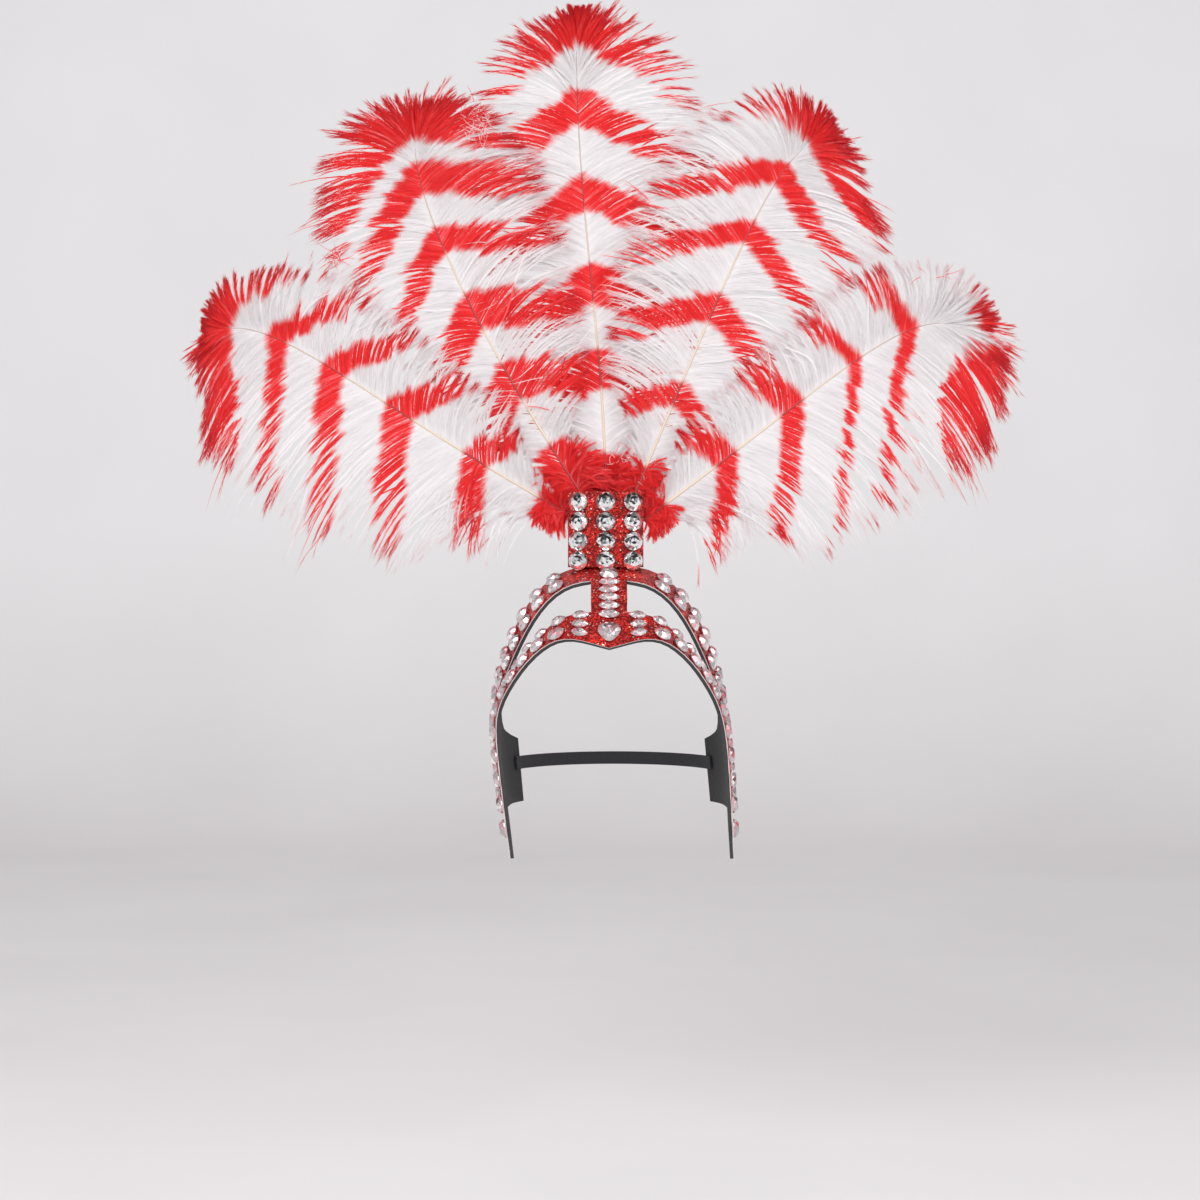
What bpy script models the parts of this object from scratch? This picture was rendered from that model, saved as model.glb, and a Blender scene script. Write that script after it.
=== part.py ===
"""Carnival feather headdress: a foam crown with a glitter cover, cut stones and five ostrich plumes.

Metres, +Z up, the wearer faces -Y. The origin is the middle of the head opening, level with the brow edge.
"""

from math import atan2, cos, pi, radians, sin, sqrt

import bmesh
import bpy
from mathutils import Matrix, Vector
from mathutils.bvhtree import BVHTree

# Crown: a flat foam sheet bent round the head
HALF_WIDTH = 0.0865
HALF_DEPTH = 0.099
CROWN_RISE = 0.053
FLAP_DROP = 0.166
FLAP_SWAY = 0.010
SWAY_START = 0.055
FOAM = 0.0022
COVER = 0.0007
GAP = 0.0003
STONE_GAP = 0.0004
STRAP_WIDTH = 0.010
STRAP_THICKNESS = 0.0015
STRAP_HEIGHT = -0.098
STRAP_LAP = 0.012
STRAP_CLEARANCE = 0.0007
STRAP_STEPS = 16

# Plate over the brow, and the sleeve behind it that takes the quills
PLATE_WIDTH = 0.0565
PLATE_HEIGHT = 0.056
PLATE_CENTRE = -0.0024
PLATE_CLEARANCE = 0.0032
PLATE_BOW_RADIUS = 0.110
SLEEVE_WIDTH = 0.052
SLEEVE_DEPTH = 0.0150
SLEEVE_TOP_BELOW_PLATE = 0.0027
SLEEVE_EDGE = 0.0015
SOCKET_DEPTH = 0.018
SOCKET_CLEARANCE = 0.0004
SOCKET_RUN_OUT = 0.008
LAYER_START = 0.0062
LAYER_PITCH = 0.0045

# Stones: length along the row, width across it, height over the cover
ROUND = (0.0142, 0.0142, 0.0048)
OVAL = (0.0142, 0.0108, 0.0042)
SMALL_OVAL = (0.0130, 0.0078, 0.0036)
NAVETTE = (0.0155, 0.0075, 0.0036)
PEAR = (0.0184, 0.0186, 0.0042)
SMALL_NAVETTE = (0.0130, 0.0070, 0.0034)
BASE_SHARE = 0.94
TABLE_SHARE = 0.52
GIRDLE_SHARE = 0.30
PLATE_COLUMN_PITCH = 0.0203
PLATE_ROW_PITCH = 0.0146
PLATE_TOP_MARGIN = 0.0075
STRIP_PITCH = 0.0079
OVAL_PITCH = 0.0182

# Plumes: a fan about the top of the sleeve
FAN_HEIGHT = 0.349
FAN_SPAN = 0.296
BARB_LENGTH = 0.100
QUILL_RADIUS = 0.0016
VANE_THICKNESS = 0.0022
LOCKS = 17
TIP_CURL = 0.030
BARB_ROOT_ANGLE = 52
BARB_TIP_ANGLE = 96
BARB_DROOP = 0.10
OPEN_BY = 0.2
CLOSE_FROM = 0.8
CLOSE_BY = 0.8

# Crown sections from the middle of the brow to the flap tip. Each edge is (x, y, z) in shares of HALF_WIDTH,
# HALF_DEPTH and, above the origin, CROWN_RISE or, below it, FLAP_DROP.
FACE_EDGE = (
    (0, -1.00, -0.037), (0.15, -0.99, -0.016), (0.30, -0.965, 0.015), (0.44, -0.92, -0.003),
    (0.565, -0.85, -0.04), (0.695, -0.75, -0.103), (0.815, -0.62, -0.187), (0.915, -0.475, -0.275),
    (0.97, -0.345, -0.355), (0.99, -0.30, -0.465), (0.985, -0.30, -0.60), (0.975, -0.295, -0.775),
    (0.97, -0.275, -0.865), (0.965, -0.245, -0.94), (0.965, -0.215, -0.995),
)
BROW_TOP = (
    (0, -0.85, 0.365), (0.15, -0.845, 0.365), (0.29, -0.80, 0.345), (0.42, -0.75, 0.265),
    (0.545, -0.675, 0.10), (0.665, -0.57, -0.03), (0.785, -0.435, -0.125), (0.895, -0.285, -0.23),
    (0.985, -0.195, -0.345), (1.0, -0.18, -0.455), (1.0, -0.18, -0.60), (0.985, -0.185, -0.775),
    (0.975, -0.19, -0.865), (0.97, -0.19, -0.94), (0.965, -0.19, -1.0),
)
ARCH_FRONT = (
    (0, -0.636, 0.79), (0.152, -0.636, 0.79), (0.31, -0.62, 0.755), (0.46, -0.585, 0.625),
    (0.595, -0.535, 0.395), (0.71, -0.47, 0.095), (0.815, -0.365, -0.08), (0.91, -0.225, -0.20),
    (0.995, -0.055, -0.325), (1.005, -0.04, -0.44), (1.005, -0.05, -0.60), (0.985, -0.06, -0.775),
    (0.975, -0.105, -0.865), (0.97, -0.135, -0.94), (0.965, -0.165, -0.995),
)
ARCH_REAR = (
    (0, -0.394, 1.0), (0.157, -0.394, 1.0), (0.335, -0.375, 0.965), (0.49, -0.345, 0.84),
    (0.63, -0.295, 0.62), (0.75, -0.23, 0.33), (0.855, -0.13, 0.0), (0.93, 0.0, -0.13),
    (0.985, 0.13, -0.26), (0.985, 0.17, -0.415), (0.985, 0.17, -0.60), (0.975, 0.17, -0.775),
)
EDGES = (FACE_EDGE, BROW_TOP, ARCH_FRONT, ARCH_REAR)
STRIP_STATION = 1
TEMPLE_STATION = 7
WING_FIRST, WING_LAST = 9, 11
# The wing behind the ear: y share, and z shares at its three stations
WING = ((0.28, -0.44, -0.62, -0.775), (0.39, -0.46, -0.62, -0.775), (0.50, -0.48, -0.62, -0.775))

PEAR_PLACE = 0.47
STRIP_START, STRIP_END = 0.94, 2.9
STRIP_STONES = 5
# Rows on each side: name, edge coordinate (0 face edge to 3 arch rear), first and last station, and the
# sizes of the first stone and of the others
STONE_ROWS = (
    ("brow_low", 0.27, 1.64, 13.1, SMALL_NAVETTE, OVAL),
    ("brow_mid", 0.59, 1.62, 1.80, SMALL_NAVETTE, SMALL_NAVETTE),
    ("brow_high", 0.91, 1.60, 6.9, SMALL_NAVETTE, SMALL_OVAL),
    ("arch_front", 2.23, 2.85, 10.6, OVAL, OVAL),
    ("arch_rear", 2.77, 2.90, 10.8, OVAL, OVAL),
)

# Plumes: name, layer from the front, base and tip as shares of FAN_SPAN and FAN_HEIGHT, their directions in
# degrees, and the share of the length that the tip's bend takes
PLUMES = (
    ("plume_centre", 2, (-0.007, 0.0), 91, (-0.080, 0.984), 89, 0.37),
    ("plume_upper_left", 1, (-0.072, 0.0), 123, (-0.481, 0.733), 86, 0.10),
    ("plume_upper_right", 1, (0.067, 0.0), 67, (0.497, 0.730), 32, 0.12),
    ("plume_lower_left", 0, (-0.102, -0.046), 151, (-0.965, 0.335), 200, 0.15),
    ("plume_lower_right", 0, (0.087, -0.060), 36, (0.857, 0.350), -14, 0.16),
)
# Barb lengths in shares of BARB_LENGTH at these shares of the quill, to its left and to its right
BARB_STATIONS = (0.0, 0.1, 0.3, 0.6, 0.85, 1.0)
BARB_SHARES = {
    "plume_centre": ((0.30, 0.60, 0.85, 0.95, 0.80, 0.16), (0.30, 0.65, 0.95, 1.12, 0.92, 0.16)),
    "plume_upper_left": ((0.25, 0.40, 0.65, 0.88, 0.76, 0.42), (0.25, 0.60, 0.95, 1.00, 0.80, 0.44)),
    "plume_upper_right": ((0.30, 0.60, 0.95, 0.95, 0.62, 0.32), (0.25, 0.50, 0.80, 1.02, 0.72, 0.32)),
    "plume_lower_left": ((0.32, 0.95, 1.15, 1.06, 0.68, 0.24), (0.25, 0.50, 0.66, 0.70, 0.45, 0.18)),
    "plume_lower_right": ((0.25, 0.45, 0.55, 0.64, 0.52, 0.40), (0.32, 0.95, 1.10, 1.15, 1.00, 0.56)),
}

MATERIALS = {
    "red_glitter": ((0.62, 0.02, 0.02), 0.35, 0.4),
    "black_foam": ((0.03, 0.03, 0.032), 0.85, 0.0),
    "foiled_crystal": ((0.80, 0.81, 0.84), 0.06, 0.9),
    "clear_crystal": ((0.90, 0.84, 0.85), 0.08, 0.3),
    "plume": ((0.86, 0.22, 0.20), 0.75, 0.0),
    "sleeve": ((0.45, 0.02, 0.02), 0.7, 0.0),
    "elastic": ((0.04, 0.04, 0.045), 0.8, 0.0),
}


def material(name):
    """The named Principled material, made once."""
    made = bpy.data.materials.get(name)
    if made is None:
        colour, roughness, metallic = MATERIALS[name]
        made = bpy.data.materials.new(name)
        made.use_nodes = True
        shader = made.node_tree.nodes["Principled BSDF"]
        shader.inputs["Base Color"].default_value = (*colour, 1)
        shader.inputs["Roughness"].default_value = roughness
        shader.inputs["Metallic"].default_value = metallic
    return made


def add_object(name, mesh, collection, finish):
    """A new object for a mesh, in a collection and with a material."""
    made = bpy.data.objects.new(name, mesh)
    collection.objects.link(made)
    mesh.materials.append(material(finish))
    return made


def mesh_of(name, points, faces, closed=False):
    """A mesh from points and faces, its faces turned outwards where it is closed."""
    mesh = bpy.data.meshes.new(name)
    mesh.from_pydata([tuple(p) for p in points], [], faces)
    if closed:
        work = bmesh.new()
        work.from_mesh(mesh)
        bmesh.ops.recalc_face_normals(work, faces=work.faces)
        work.to_mesh(mesh)
        work.free()
    mesh.validate()
    return mesh


def swayed(x, z):
    """x of a crown point: the flaps hang a little to the wearer's left, as in wear."""
    share = max(0.0, (-z - SWAY_START) / (FLAP_DROP - SWAY_START))
    return x + FLAP_SWAY * share


def crown_point(shares, side):
    """A crown point from its shares, on the right (side 1) or the left (side -1)."""
    x_share, y_share, z_share = shares
    z = z_share * (CROWN_RISE if z_share > 0 else FLAP_DROP)
    return Vector((swayed(side * x_share * HALF_WIDTH, z), y_share * HALF_DEPTH, z))


def head_ring_x(y):
    """Half the crown's width where the head ring has this y."""
    return HALF_WIDTH * sqrt(max(0.0, 1 - (y / HALF_DEPTH) ** 2))


def wing_point(column, station, side):
    """A point of the wing behind the ear: column 0 to 2 backwards, station WING_FIRST to WING_LAST."""
    y = WING[column][0] * HALF_DEPTH
    z = WING[column][1 + station - WING_FIRST] * FLAP_DROP
    return Vector((swayed(side * head_ring_x(y), z), y, z))


def crown_cage():
    """Points, faces and sharp points of the crown's open sheet, its faces looking outwards."""
    points, index, faces, sharp = [], {}, [], set()

    def at(side, row, station):
        key = (side if station else 1, row, station)
        if key not in index:
            index[key] = len(points)
            if row < len(EDGES):
                points.append(crown_point(EDGES[row][station], side))
            else:
                points.append(wing_point(row - len(EDGES), station, side))
        return index[key]

    def cell(side, row, station):
        corners = [at(side, row, station), at(side, row, station + 1)]
        corners += [at(side, row + 1, station + 1), at(side, row + 1, station)]
        faces.append(corners if side > 0 else corners[::-1])

    last = len(FACE_EDGE) - 1
    for side in (1, -1):
        for station in range(last):
            cell(side, 0, station)
            if station < STRIP_STATION or station >= TEMPLE_STATION:
                cell(side, 1, station)
            if station < WING_LAST:
                cell(side, 2, station)
            if WING_FIRST <= station < WING_LAST:
                for column in range(len(WING)):
                    cell(side, 3 + column, station)
        for row, station in ((1, STRIP_STATION), (2, STRIP_STATION), (2, WING_LAST), (1, TEMPLE_STATION)):
            sharp.add(at(side, row, station))
        for station in (WING_FIRST, WING_LAST):
            sharp.add(at(side, 3 + len(WING) - 1, station))
    sharp.add(at(1, 0, 0))
    return points, faces, sharp


def crown_sheet(name, collection, finish):
    """The crown's open sheet as an object with one level of subdivision."""
    points, faces, sharp = crown_cage()
    sheet = add_object(name, mesh_of(name, points, faces), collection, finish)
    crease = sheet.data.attributes.new("crease_vert", "FLOAT", "POINT")
    for vertex in sharp:
        crease.data[vertex].value = 1.0
    smooth = sheet.modifiers.new("smooth", "SUBSURF")
    smooth.levels = smooth.render_levels = 1
    smooth.boundary_smooth = "PRESERVE_CORNERS"
    return sheet


def solidify(made, thickness, offset):
    """Gives an open sheet its thickness, inwards (offset -1) or outwards (offset 1)."""
    shell = made.modifiers.new("shell", "SOLIDIFY")
    shell.thickness = thickness
    shell.offset = offset


def lift(made, height):
    """Moves a sheet along its own normals."""
    raised = made.modifiers.new("lift", "DISPLACE")
    raised.mid_level = 0
    raised.strength = height


def evaluated_tree(made):
    """A search tree of the object's surface with its modifiers."""
    bpy.context.view_layer.update()
    return BVHTree.FromObject(made, bpy.context.evaluated_depsgraph_get())


def edge_spline(row, station, side):
    """A point of the sheet at an edge coordinate 0 to 3 and a station, both with fractions."""

    def on_edge(edge, where):
        last = len(edge) - 1
        where = min(max(where, 0.0), last)
        low = min(int(where), last - 1)
        share = where - low
        picks = [min(max(low + step, 0), last) for step in (-1, 0, 1, 2)]
        p0, p1, p2, p3 = (crown_point(edge[k], side) for k in picks)
        if low == 0:
            p0 = p1 * 2 - p2
        square, cube = share * share, share ** 3
        return 0.5 * (2 * p1 + (p2 - p0) * share + (2 * p0 - 5 * p1 + 4 * p2 - p3) * square
                      + (3 * p1 - p0 - 3 * p2 + p3) * cube)

    low = min(int(row), len(EDGES) - 2)
    return on_edge(EDGES[low], station).lerp(on_edge(EDGES[low + 1], station), row - low)


def stone_ring(size, kind, sides):
    """The outline of a stone round its middle: (along, across) points."""
    length, width, _ = size
    ring = []
    for step in range(sides):
        angle = 2 * pi * (step + (0.0 if kind in ("navette", "pear") else 0.5)) / sides
        along, across = cos(angle), sin(angle)
        if kind == "navette":
            across *= abs(across) ** 0.3
        if kind == "pear" and along > 0:
            across *= 1 - 0.25 * along ** 2
        elif kind == "pear":
            along, across = along * 0.8, (abs(across) ** 0.7 if across > 0 else -abs(across) ** 0.7)
        ring.append((along * length / 2, across * width / 2))
    return ring


def add_stone(points, faces, frame, size, kind="oval", sides=8):
    """Adds a cut stone, flat side down on the frame's XY plane. Returns its girdle quads, one for each side."""
    height = size[2]
    ring = stone_ring(size, kind, sides)
    start = len(points)
    for share, level in ((BASE_SHARE, 0.0), (1.0, GIRDLE_SHARE), (TABLE_SHARE, 1.0)):
        points.extend(frame @ Vector((a * share, c * share, level * height)) for a, c in ring)
    faces.append([start + k for k in reversed(range(sides))])
    faces.append([start + 2 * sides + k for k in range(sides)])
    girdle = []
    for k in range(sides):
        following = (k + 1) % sides
        low, high = start + k, start + sides + k
        quad = [low, start + following, start + sides + following, high]
        girdle.append(quad)
        top = start + 2 * sides
        faces.append([high, start + sides + following, top + following, top + k])
    return girdle


def single_stone(name, collection, frame, size, kind, sides=8, finish="clear_crystal"):
    """One cut stone as an object of its own."""
    points, faces = [], []
    faces.extend(add_stone(points, faces, frame, size, kind, sides))
    return add_object(name, mesh_of(name, points, faces, closed=True), collection, finish)


def stone_row(name, collection, frames, sizes):
    """A row of ovals joined end to end through their girdles, which stands for their glue line."""
    points, faces, sides = [], [], 8
    front_side, back_side = sides - 1, sides // 2 - 1
    open_end = None
    for count, (frame, size) in enumerate(zip(frames, sizes)):
        girdle = add_stone(points, faces, frame, size, "oval", sides)
        closed_quads = set(range(sides))
        if open_end is not None:
            closed_quads.discard(back_side)
            start = girdle[back_side]
            for k in range(4):
                following = (k + 1) % 4
                pair = (0, 1, 2, 3)
                mirror = (1, 0, 3, 2)
                faces.append([open_end[pair[k]], open_end[pair[following]],
                              start[mirror[following]], start[mirror[k]]])
        if count < len(frames) - 1:
            closed_quads.discard(front_side)
            open_end = girdle[front_side]
        faces.extend(girdle[k] for k in closed_quads)
    return add_object(name, mesh_of(name, points, faces, closed=True), collection, "clear_crystal")


def seat_frame(tree, guess, along, size):
    """The frame of a stone seated on the cover near a point: X along the row, Z off the surface.

    It takes the mean tilt of the cover under the stone's ends and sides, and is raised until all of it is clear.
    """
    place, normal, _, _ = tree.find_nearest(guess)

    def axes(up):
        x_axis = (along - up * along.dot(up)).normalized()
        return x_axis, up.cross(x_axis)

    def corners(up):
        x_axis, y_axis = axes(up)
        for a in (-0.5, -0.25, 0.0, 0.25, 0.5):
            for c in (-0.5, 0.0, 0.5):
                yield place + x_axis * a * size[0] + y_axis * c * size[1]

    mean = sum((tree.find_nearest(corner)[1] for corner in corners(normal)), Vector())
    normal = mean.normalized()
    sunk = 0.0
    for corner in corners(normal):
        below, slope, _, _ = tree.find_nearest(corner)
        sunk = max(sunk, (below - corner).dot(slope))
    x_axis, y_axis = axes(normal)
    frame = Matrix((x_axis, y_axis, normal)).transposed().to_4x4()
    frame.translation = place + normal * (GAP + COVER + STONE_GAP + sunk)
    return frame


def path_frames(tree, row, first, last, side, size):
    """Frames of stones of one size along a row, from one station to another."""
    steps = 400
    walked, due, frames = 0.0, 0.0, []
    before = edge_spline(row, first, side)
    for step in range(1, steps + 1):
        point = edge_spline(row, first + (last - first) * step / steps, side)
        walked += (point - before).length
        if walked >= due:
            frames.append(seat_frame(tree, before, point - before, size))
            due += OVAL_PITCH
        before = point
    return frames


def build_crown(parts):
    """The foam frame, its cover, the strap and its stones. Returns the foam's outer surface and the plate's y."""
    guide = crown_sheet("crown_guide", parts, "black_foam")
    tree = evaluated_tree(guide)
    foam = crown_sheet("crown_frame", parts, "black_foam")
    solidify(foam, FOAM, -1)
    cover = crown_sheet("crown_cover", parts, "red_glitter")
    lift(cover, GAP)
    solidify(cover, COVER, 1)
    for side, word in ((1, "right"), (-1, "left")):
        for name, row, first, last, first_size, size in STONE_ROWS:
            frames = path_frames(tree, row, first, last, side, size)
            sizes = [first_size] + [size] * (len(frames) - 1)
            stone_row(f"{name}_stones_{word}", parts, frames, sizes)
    plate_front = build_strip_stones(parts, tree)
    build_strap(parts)
    bpy.data.objects.remove(guide)
    return tree, plate_front


def build_strip_stones(parts, tree):
    """The pear at the peak, the navettes up the middle strip and the round stone on the arch.

    Returns the y where the plate may stand behind them.
    """
    down = Vector((0, -0.3, -1))
    single_stone("brow_pear", parts, seat_frame(tree, edge_spline(PEAR_PLACE, 0, 1), down, PEAR),
                 PEAR, "pear", 10)
    walked, due, count = 0.0, 0.0, 0
    before = edge_spline(STRIP_START, 0, 1)
    steps = 300
    for step in range(1, steps + 1):
        point = edge_spline(STRIP_START + (STRIP_END - STRIP_START) * step / steps, 0, 1)
        walked += (point - before).length
        before = point
        if walked < due:
            continue
        across = Vector((1, 0, 0))
        if count < STRIP_STONES:
            frame = seat_frame(tree, point, across, NAVETTE)
            single_stone(f"strip_navette_{count + 1}", parts, frame, NAVETTE, "navette")
            count += 1
            due += STRIP_PITCH if count < STRIP_STONES else (STRIP_PITCH + ROUND[1]) / 2
            continue
        last = single_stone("arch_round", parts, seat_frame(tree, point, across, ROUND), ROUND, "round", 10)
        return max(vertex.co.y for vertex in last.data.vertices) + PLATE_CLEARANCE
    raise ValueError("the arch is too short for its stones")


def build_strap(parts):
    """The plain elastic that closes the ring behind the head, inside the wings."""
    inset = FOAM + GAP + STRAP_THICKNESS + STRAP_CLEARANCE
    first = atan2(WING[-1][0] * HALF_DEPTH - STRAP_LAP, head_ring_x(WING[-1][0] * HALF_DEPTH))
    start = atan2(sin(first) / (HALF_DEPTH - inset), cos(first) / (HALF_WIDTH - inset))
    points, faces, steps = [], [], STRAP_STEPS
    for step in range(steps + 1):
        angle = start + (pi - 2 * start) * step / steps
        for level in (-0.5, 0.5):
            z = STRAP_HEIGHT + level * STRAP_WIDTH
            x = (HALF_WIDTH - inset) * cos(angle)
            points.append((swayed(x, z), (HALF_DEPTH - inset) * sin(angle), z))
    for step in range(steps):
        low = 2 * step
        faces.append([low, low + 2, low + 3, low + 1])
    strap = add_object("back_strap", mesh_of("back_strap", points, faces), parts, "elastic")
    solidify(strap, STRAP_THICKNESS, 1)


def plate_point(front, x, z, depth):
    """A point of the bowed plate, depth behind its front face, whose foremost line is at y = front."""
    angle = x / PLATE_BOW_RADIUS
    radius = PLATE_BOW_RADIUS - depth
    centre_y = front + PLATE_BOW_RADIUS
    return Vector((PLATE_CENTRE + radius * sin(angle), centre_y - radius * cos(angle), z))


def seat_height(tree, front, width, near, far):
    """The lowest level that clears the cover under a footprint from near to far behind the plate's front face."""
    highest = -HALF_DEPTH
    for column in range(13):
        for row in range(9):
            point = plate_point(front, (column / 12 - 0.5) * width, 0, near + (far - near) * row / 8)
            hit = tree.ray_cast(Vector((point.x, point.y, HALF_DEPTH)), Vector((0, 0, -1)))[0]
            if hit is not None:
                highest = max(highest, hit.z)
    return highest + 2 * GAP + COVER


def plate_layer(name, parts, finish, front, foot, depths):
    """One layer of the plate between two depths behind its front face, standing on its foot level."""
    points, faces, steps = [], [], 8
    for step in range(steps + 1):
        x = (step / steps - 0.5) * PLATE_WIDTH
        for z in (foot, foot + PLATE_HEIGHT):
            for depth in depths:
                points.append(plate_point(front, x, z, depth))
    for step in range(steps):
        low = 4 * step
        for first, second in ((0, 1), (1, 3), (3, 2), (2, 0)):
            faces.append([low + first, low + second, low + 4 + second, low + 4 + first])
    faces.append([0, 1, 3, 2])
    end = 4 * steps
    faces.append([end, end + 2, end + 3, end + 1])
    return add_object(name, mesh_of(name, points, faces, closed=True), parts, finish)


def build_plate(parts, front, foot):
    """The bowed plate: foam behind, cover in front, and its grid of round stones."""
    plate_layer("plate_foam", parts, "black_foam", front, foot, (COVER + GAP, COVER + GAP + FOAM))
    plate_layer("plate_cover", parts, "red_glitter", front, foot, (0.0, COVER))
    top = foot + PLATE_HEIGHT - PLATE_TOP_MARGIN
    for column in range(3):
        for row in range(4):
            x = (column - 1) * PLATE_COLUMN_PITCH
            z = top - row * PLATE_ROW_PITCH
            place = plate_point(front, x, z, -STONE_GAP)
            normal = Vector((sin(x / PLATE_BOW_RADIUS), -cos(x / PLATE_BOW_RADIUS), 0))
            across = Vector((0, 0, 1)).cross(normal)
            frame = Matrix((across, Vector((0, 0, 1)), normal)).transposed().to_4x4()
            frame.translation = place
            name = f"plate_round_{column + 1}{row + 1}"
            single_stone(name, parts, frame, ROUND, "round", 10, "foiled_crystal")


def direction(degrees):
    """The unit vector in the fan's plane at an angle from +X towards +Z."""
    return Vector((cos(radians(degrees)), 0, sin(radians(degrees))))


def quill_curve(plume, share):
    """The quill's point and direction in degrees at a share of its length, in the fan's plane."""
    _, _, base, base_angle, tip, tip_angle, bend = plume
    start = Vector((base[0] * FAN_SPAN, 0, base[1] * FAN_HEIGHT))
    end = Vector((tip[0] * FAN_SPAN, 0, tip[1] * FAN_HEIGHT))
    reach = (end - start).length
    first = start + direction(base_angle) * reach * (0.75 - bend)
    second = end - direction(tip_angle) * reach * bend
    rest = 1 - share
    point = start * rest ** 3 + first * 3 * rest * rest * share + second * 3 * rest * share ** 2 + end * share ** 3
    slope = (first - start) * rest * rest + (second - first) * 2 * rest * share + (end - second) * share ** 2
    return point, atan2(slope.z, slope.x) * 180 / pi


def table_value(stations, values, share):
    """The value at a share, in straight lines between table stations."""
    for k in range(len(stations) - 1):
        if share <= stations[k + 1]:
            part = (share - stations[k]) / (stations[k + 1] - stations[k])
            return values[k] + (values[k + 1] - values[k]) * part
    return values[-1]


def barb_point(plume, share, side, reach):
    """The point at a share of the barb that leaves the quill at a share, to its left (1) or right (-1)."""
    root, angle = quill_curve(plume, share)
    lengths = BARB_SHARES[plume[0]][0 if side > 0 else 1]
    length = BARB_LENGTH * table_value(BARB_STATIONS, lengths, share)
    opening = min(1.0, 0.4 + share / OPEN_BY)
    closing = 1 - CLOSE_BY * max(0.0, (share - CLOSE_FROM) / (1 - CLOSE_FROM))
    first = BARB_ROOT_ANGLE * opening * closing
    last = BARB_TIP_ANGLE * opening * closing
    middle = first + (last - first) * reach / 2
    point = root + direction(angle + side * middle) * length * reach
    point.z -= BARB_DROOP * length * reach ** 2
    return point


def fan_depth(front, layer, point):
    """y of a plume point: layers behind the plate, all curling forwards together with the distance."""
    first = front + COVER + 2 * GAP + FOAM + LAYER_START
    return first + layer * LAYER_PITCH - TIP_CURL * (point.length / FAN_HEIGHT) ** 2


def thickened(outline, faces):
    """Points and faces of a closed thin solid from a sheet in the fan's plane with half thicknesses."""
    points = [Vector((x, y - half, z)) for x, y, z, half in outline]
    points += [Vector((x, y + half, z)) for x, y, z, half in outline]
    count = len(outline)
    used = {}
    for face in faces:
        for k, corner in enumerate(face):
            used[(corner, face[(k + 1) % len(face)])] = True
    solid = [list(face) for face in faces]
    solid += [[corner + count for corner in reversed(face)] for face in faces]
    for a, b in used:
        if (b, a) not in used:
            solid.append([b, a, a + count, b + count])
    return points, solid


def build_plume(plume, parts, front, base_z):
    """One plume: a quill with a vane of locks on each side, fused in one body. The fan starts at base_z."""
    name, layer = plume[0], plume[1]
    outline, faces, index = [], [], {}

    def at(key, point, half):
        if key not in index:
            index[key] = len(outline)
            outline.append((point.x, fan_depth(front, layer, point), point.z + base_z, half))
        return index[key]

    def shaft(station, side):
        share = station / LOCKS
        point, angle = quill_curve(plume, max(0.0, share))
        if station < 0:
            point = point + direction(angle) * station * SOCKET_DEPTH
        slim = 1 - 0.6 * max(0.0, share)
        aside = direction(angle + 90) * side * QUILL_RADIUS * 0.8 * slim
        half = QUILL_RADIUS * slim if side == 0 else QUILL_RADIUS * 0.45 * slim
        return at(("shaft", station, side), point + aside, half)

    for station in range(-1, LOCKS):
        for side in (1, -1):
            low, high = shaft(station, 0), shaft(station + 1, 0)
            low_side, high_side = shaft(station, side), shaft(station + 1, side)
            faces.append([low, high, high_side, low_side][::side])
            if station < 0:
                continue
            inner = (low_side, high_side)
            for reach in (0.35, 0.7):
                outer = tuple(at((reach, k, side), barb_point(plume, k / LOCKS, side, reach), VANE_THICKNESS / 2)
                              for k in (station, station + 1))
                faces.append([inner[0], inner[1], outer[1], outer[0]][::side])
                inner = outer
            tip = at(("tip", station, side), barb_point(plume, (station + 0.35) / LOCKS, side, 1.0),
                     VANE_THICKNESS / 4)
            faces.append([inner[0], inner[1], tip][::side])
    points, solid = thickened(outline, faces)
    return add_object(name, mesh_of(name, points, solid, closed=True), parts, "plume")


def build_sleeve(parts, cutters, front, bottom, base_z):
    """The plain block behind the plate, bored for the quills."""
    top = base_z - SLEEVE_TOP_BELOW_PLATE
    edge_back = plate_point(front, SLEEVE_WIDTH / 2, 0, COVER + GAP + FOAM).y
    bpy.ops.mesh.primitive_cube_add(size=1)
    sleeve = bpy.context.object
    sleeve.name = "quill_sleeve"
    sleeve.data.transform(Matrix.Diagonal((SLEEVE_WIDTH, SLEEVE_DEPTH, top - bottom, 1)))
    sleeve.location = (PLATE_CENTRE, edge_back + GAP + SLEEVE_DEPTH / 2, (top + bottom) / 2)
    for old in sleeve.users_collection:
        old.objects.unlink(sleeve)
    parts.objects.link(sleeve)
    sleeve.data.materials.append(material("sleeve"))
    rounding = sleeve.modifiers.new("edges", "BEVEL")
    rounding.width = SLEEVE_EDGE
    rounding.segments = 2
    for plume in PLUMES:
        root, angle = quill_curve(plume, 0.0)
        middle = root - direction(angle) * (SOCKET_DEPTH - SOCKET_RUN_OUT) / 2
        bpy.ops.mesh.primitive_cylinder_add(vertices=10, radius=QUILL_RADIUS + SOCKET_CLEARANCE,
                                            depth=SOCKET_DEPTH + 2 * SOCKET_CLEARANCE + SOCKET_RUN_OUT)
        bore = bpy.context.object
        bore.name = f"bore_{plume[0]}"
        bore.rotation_euler = (0, radians(90 - angle), 0)
        bore.location = (middle.x, fan_depth(front, plume[1], root), middle.z + base_z)
        for old in bore.users_collection:
            old.objects.unlink(bore)
        cutters.objects.link(bore)
        bore.hide_render = True
        bore.display_type = "WIRE"
        cut = sleeve.modifiers.new(f"cut_{plume[0]}", "BOOLEAN")
        cut.operation = "DIFFERENCE"
        cut.object = bore


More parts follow.
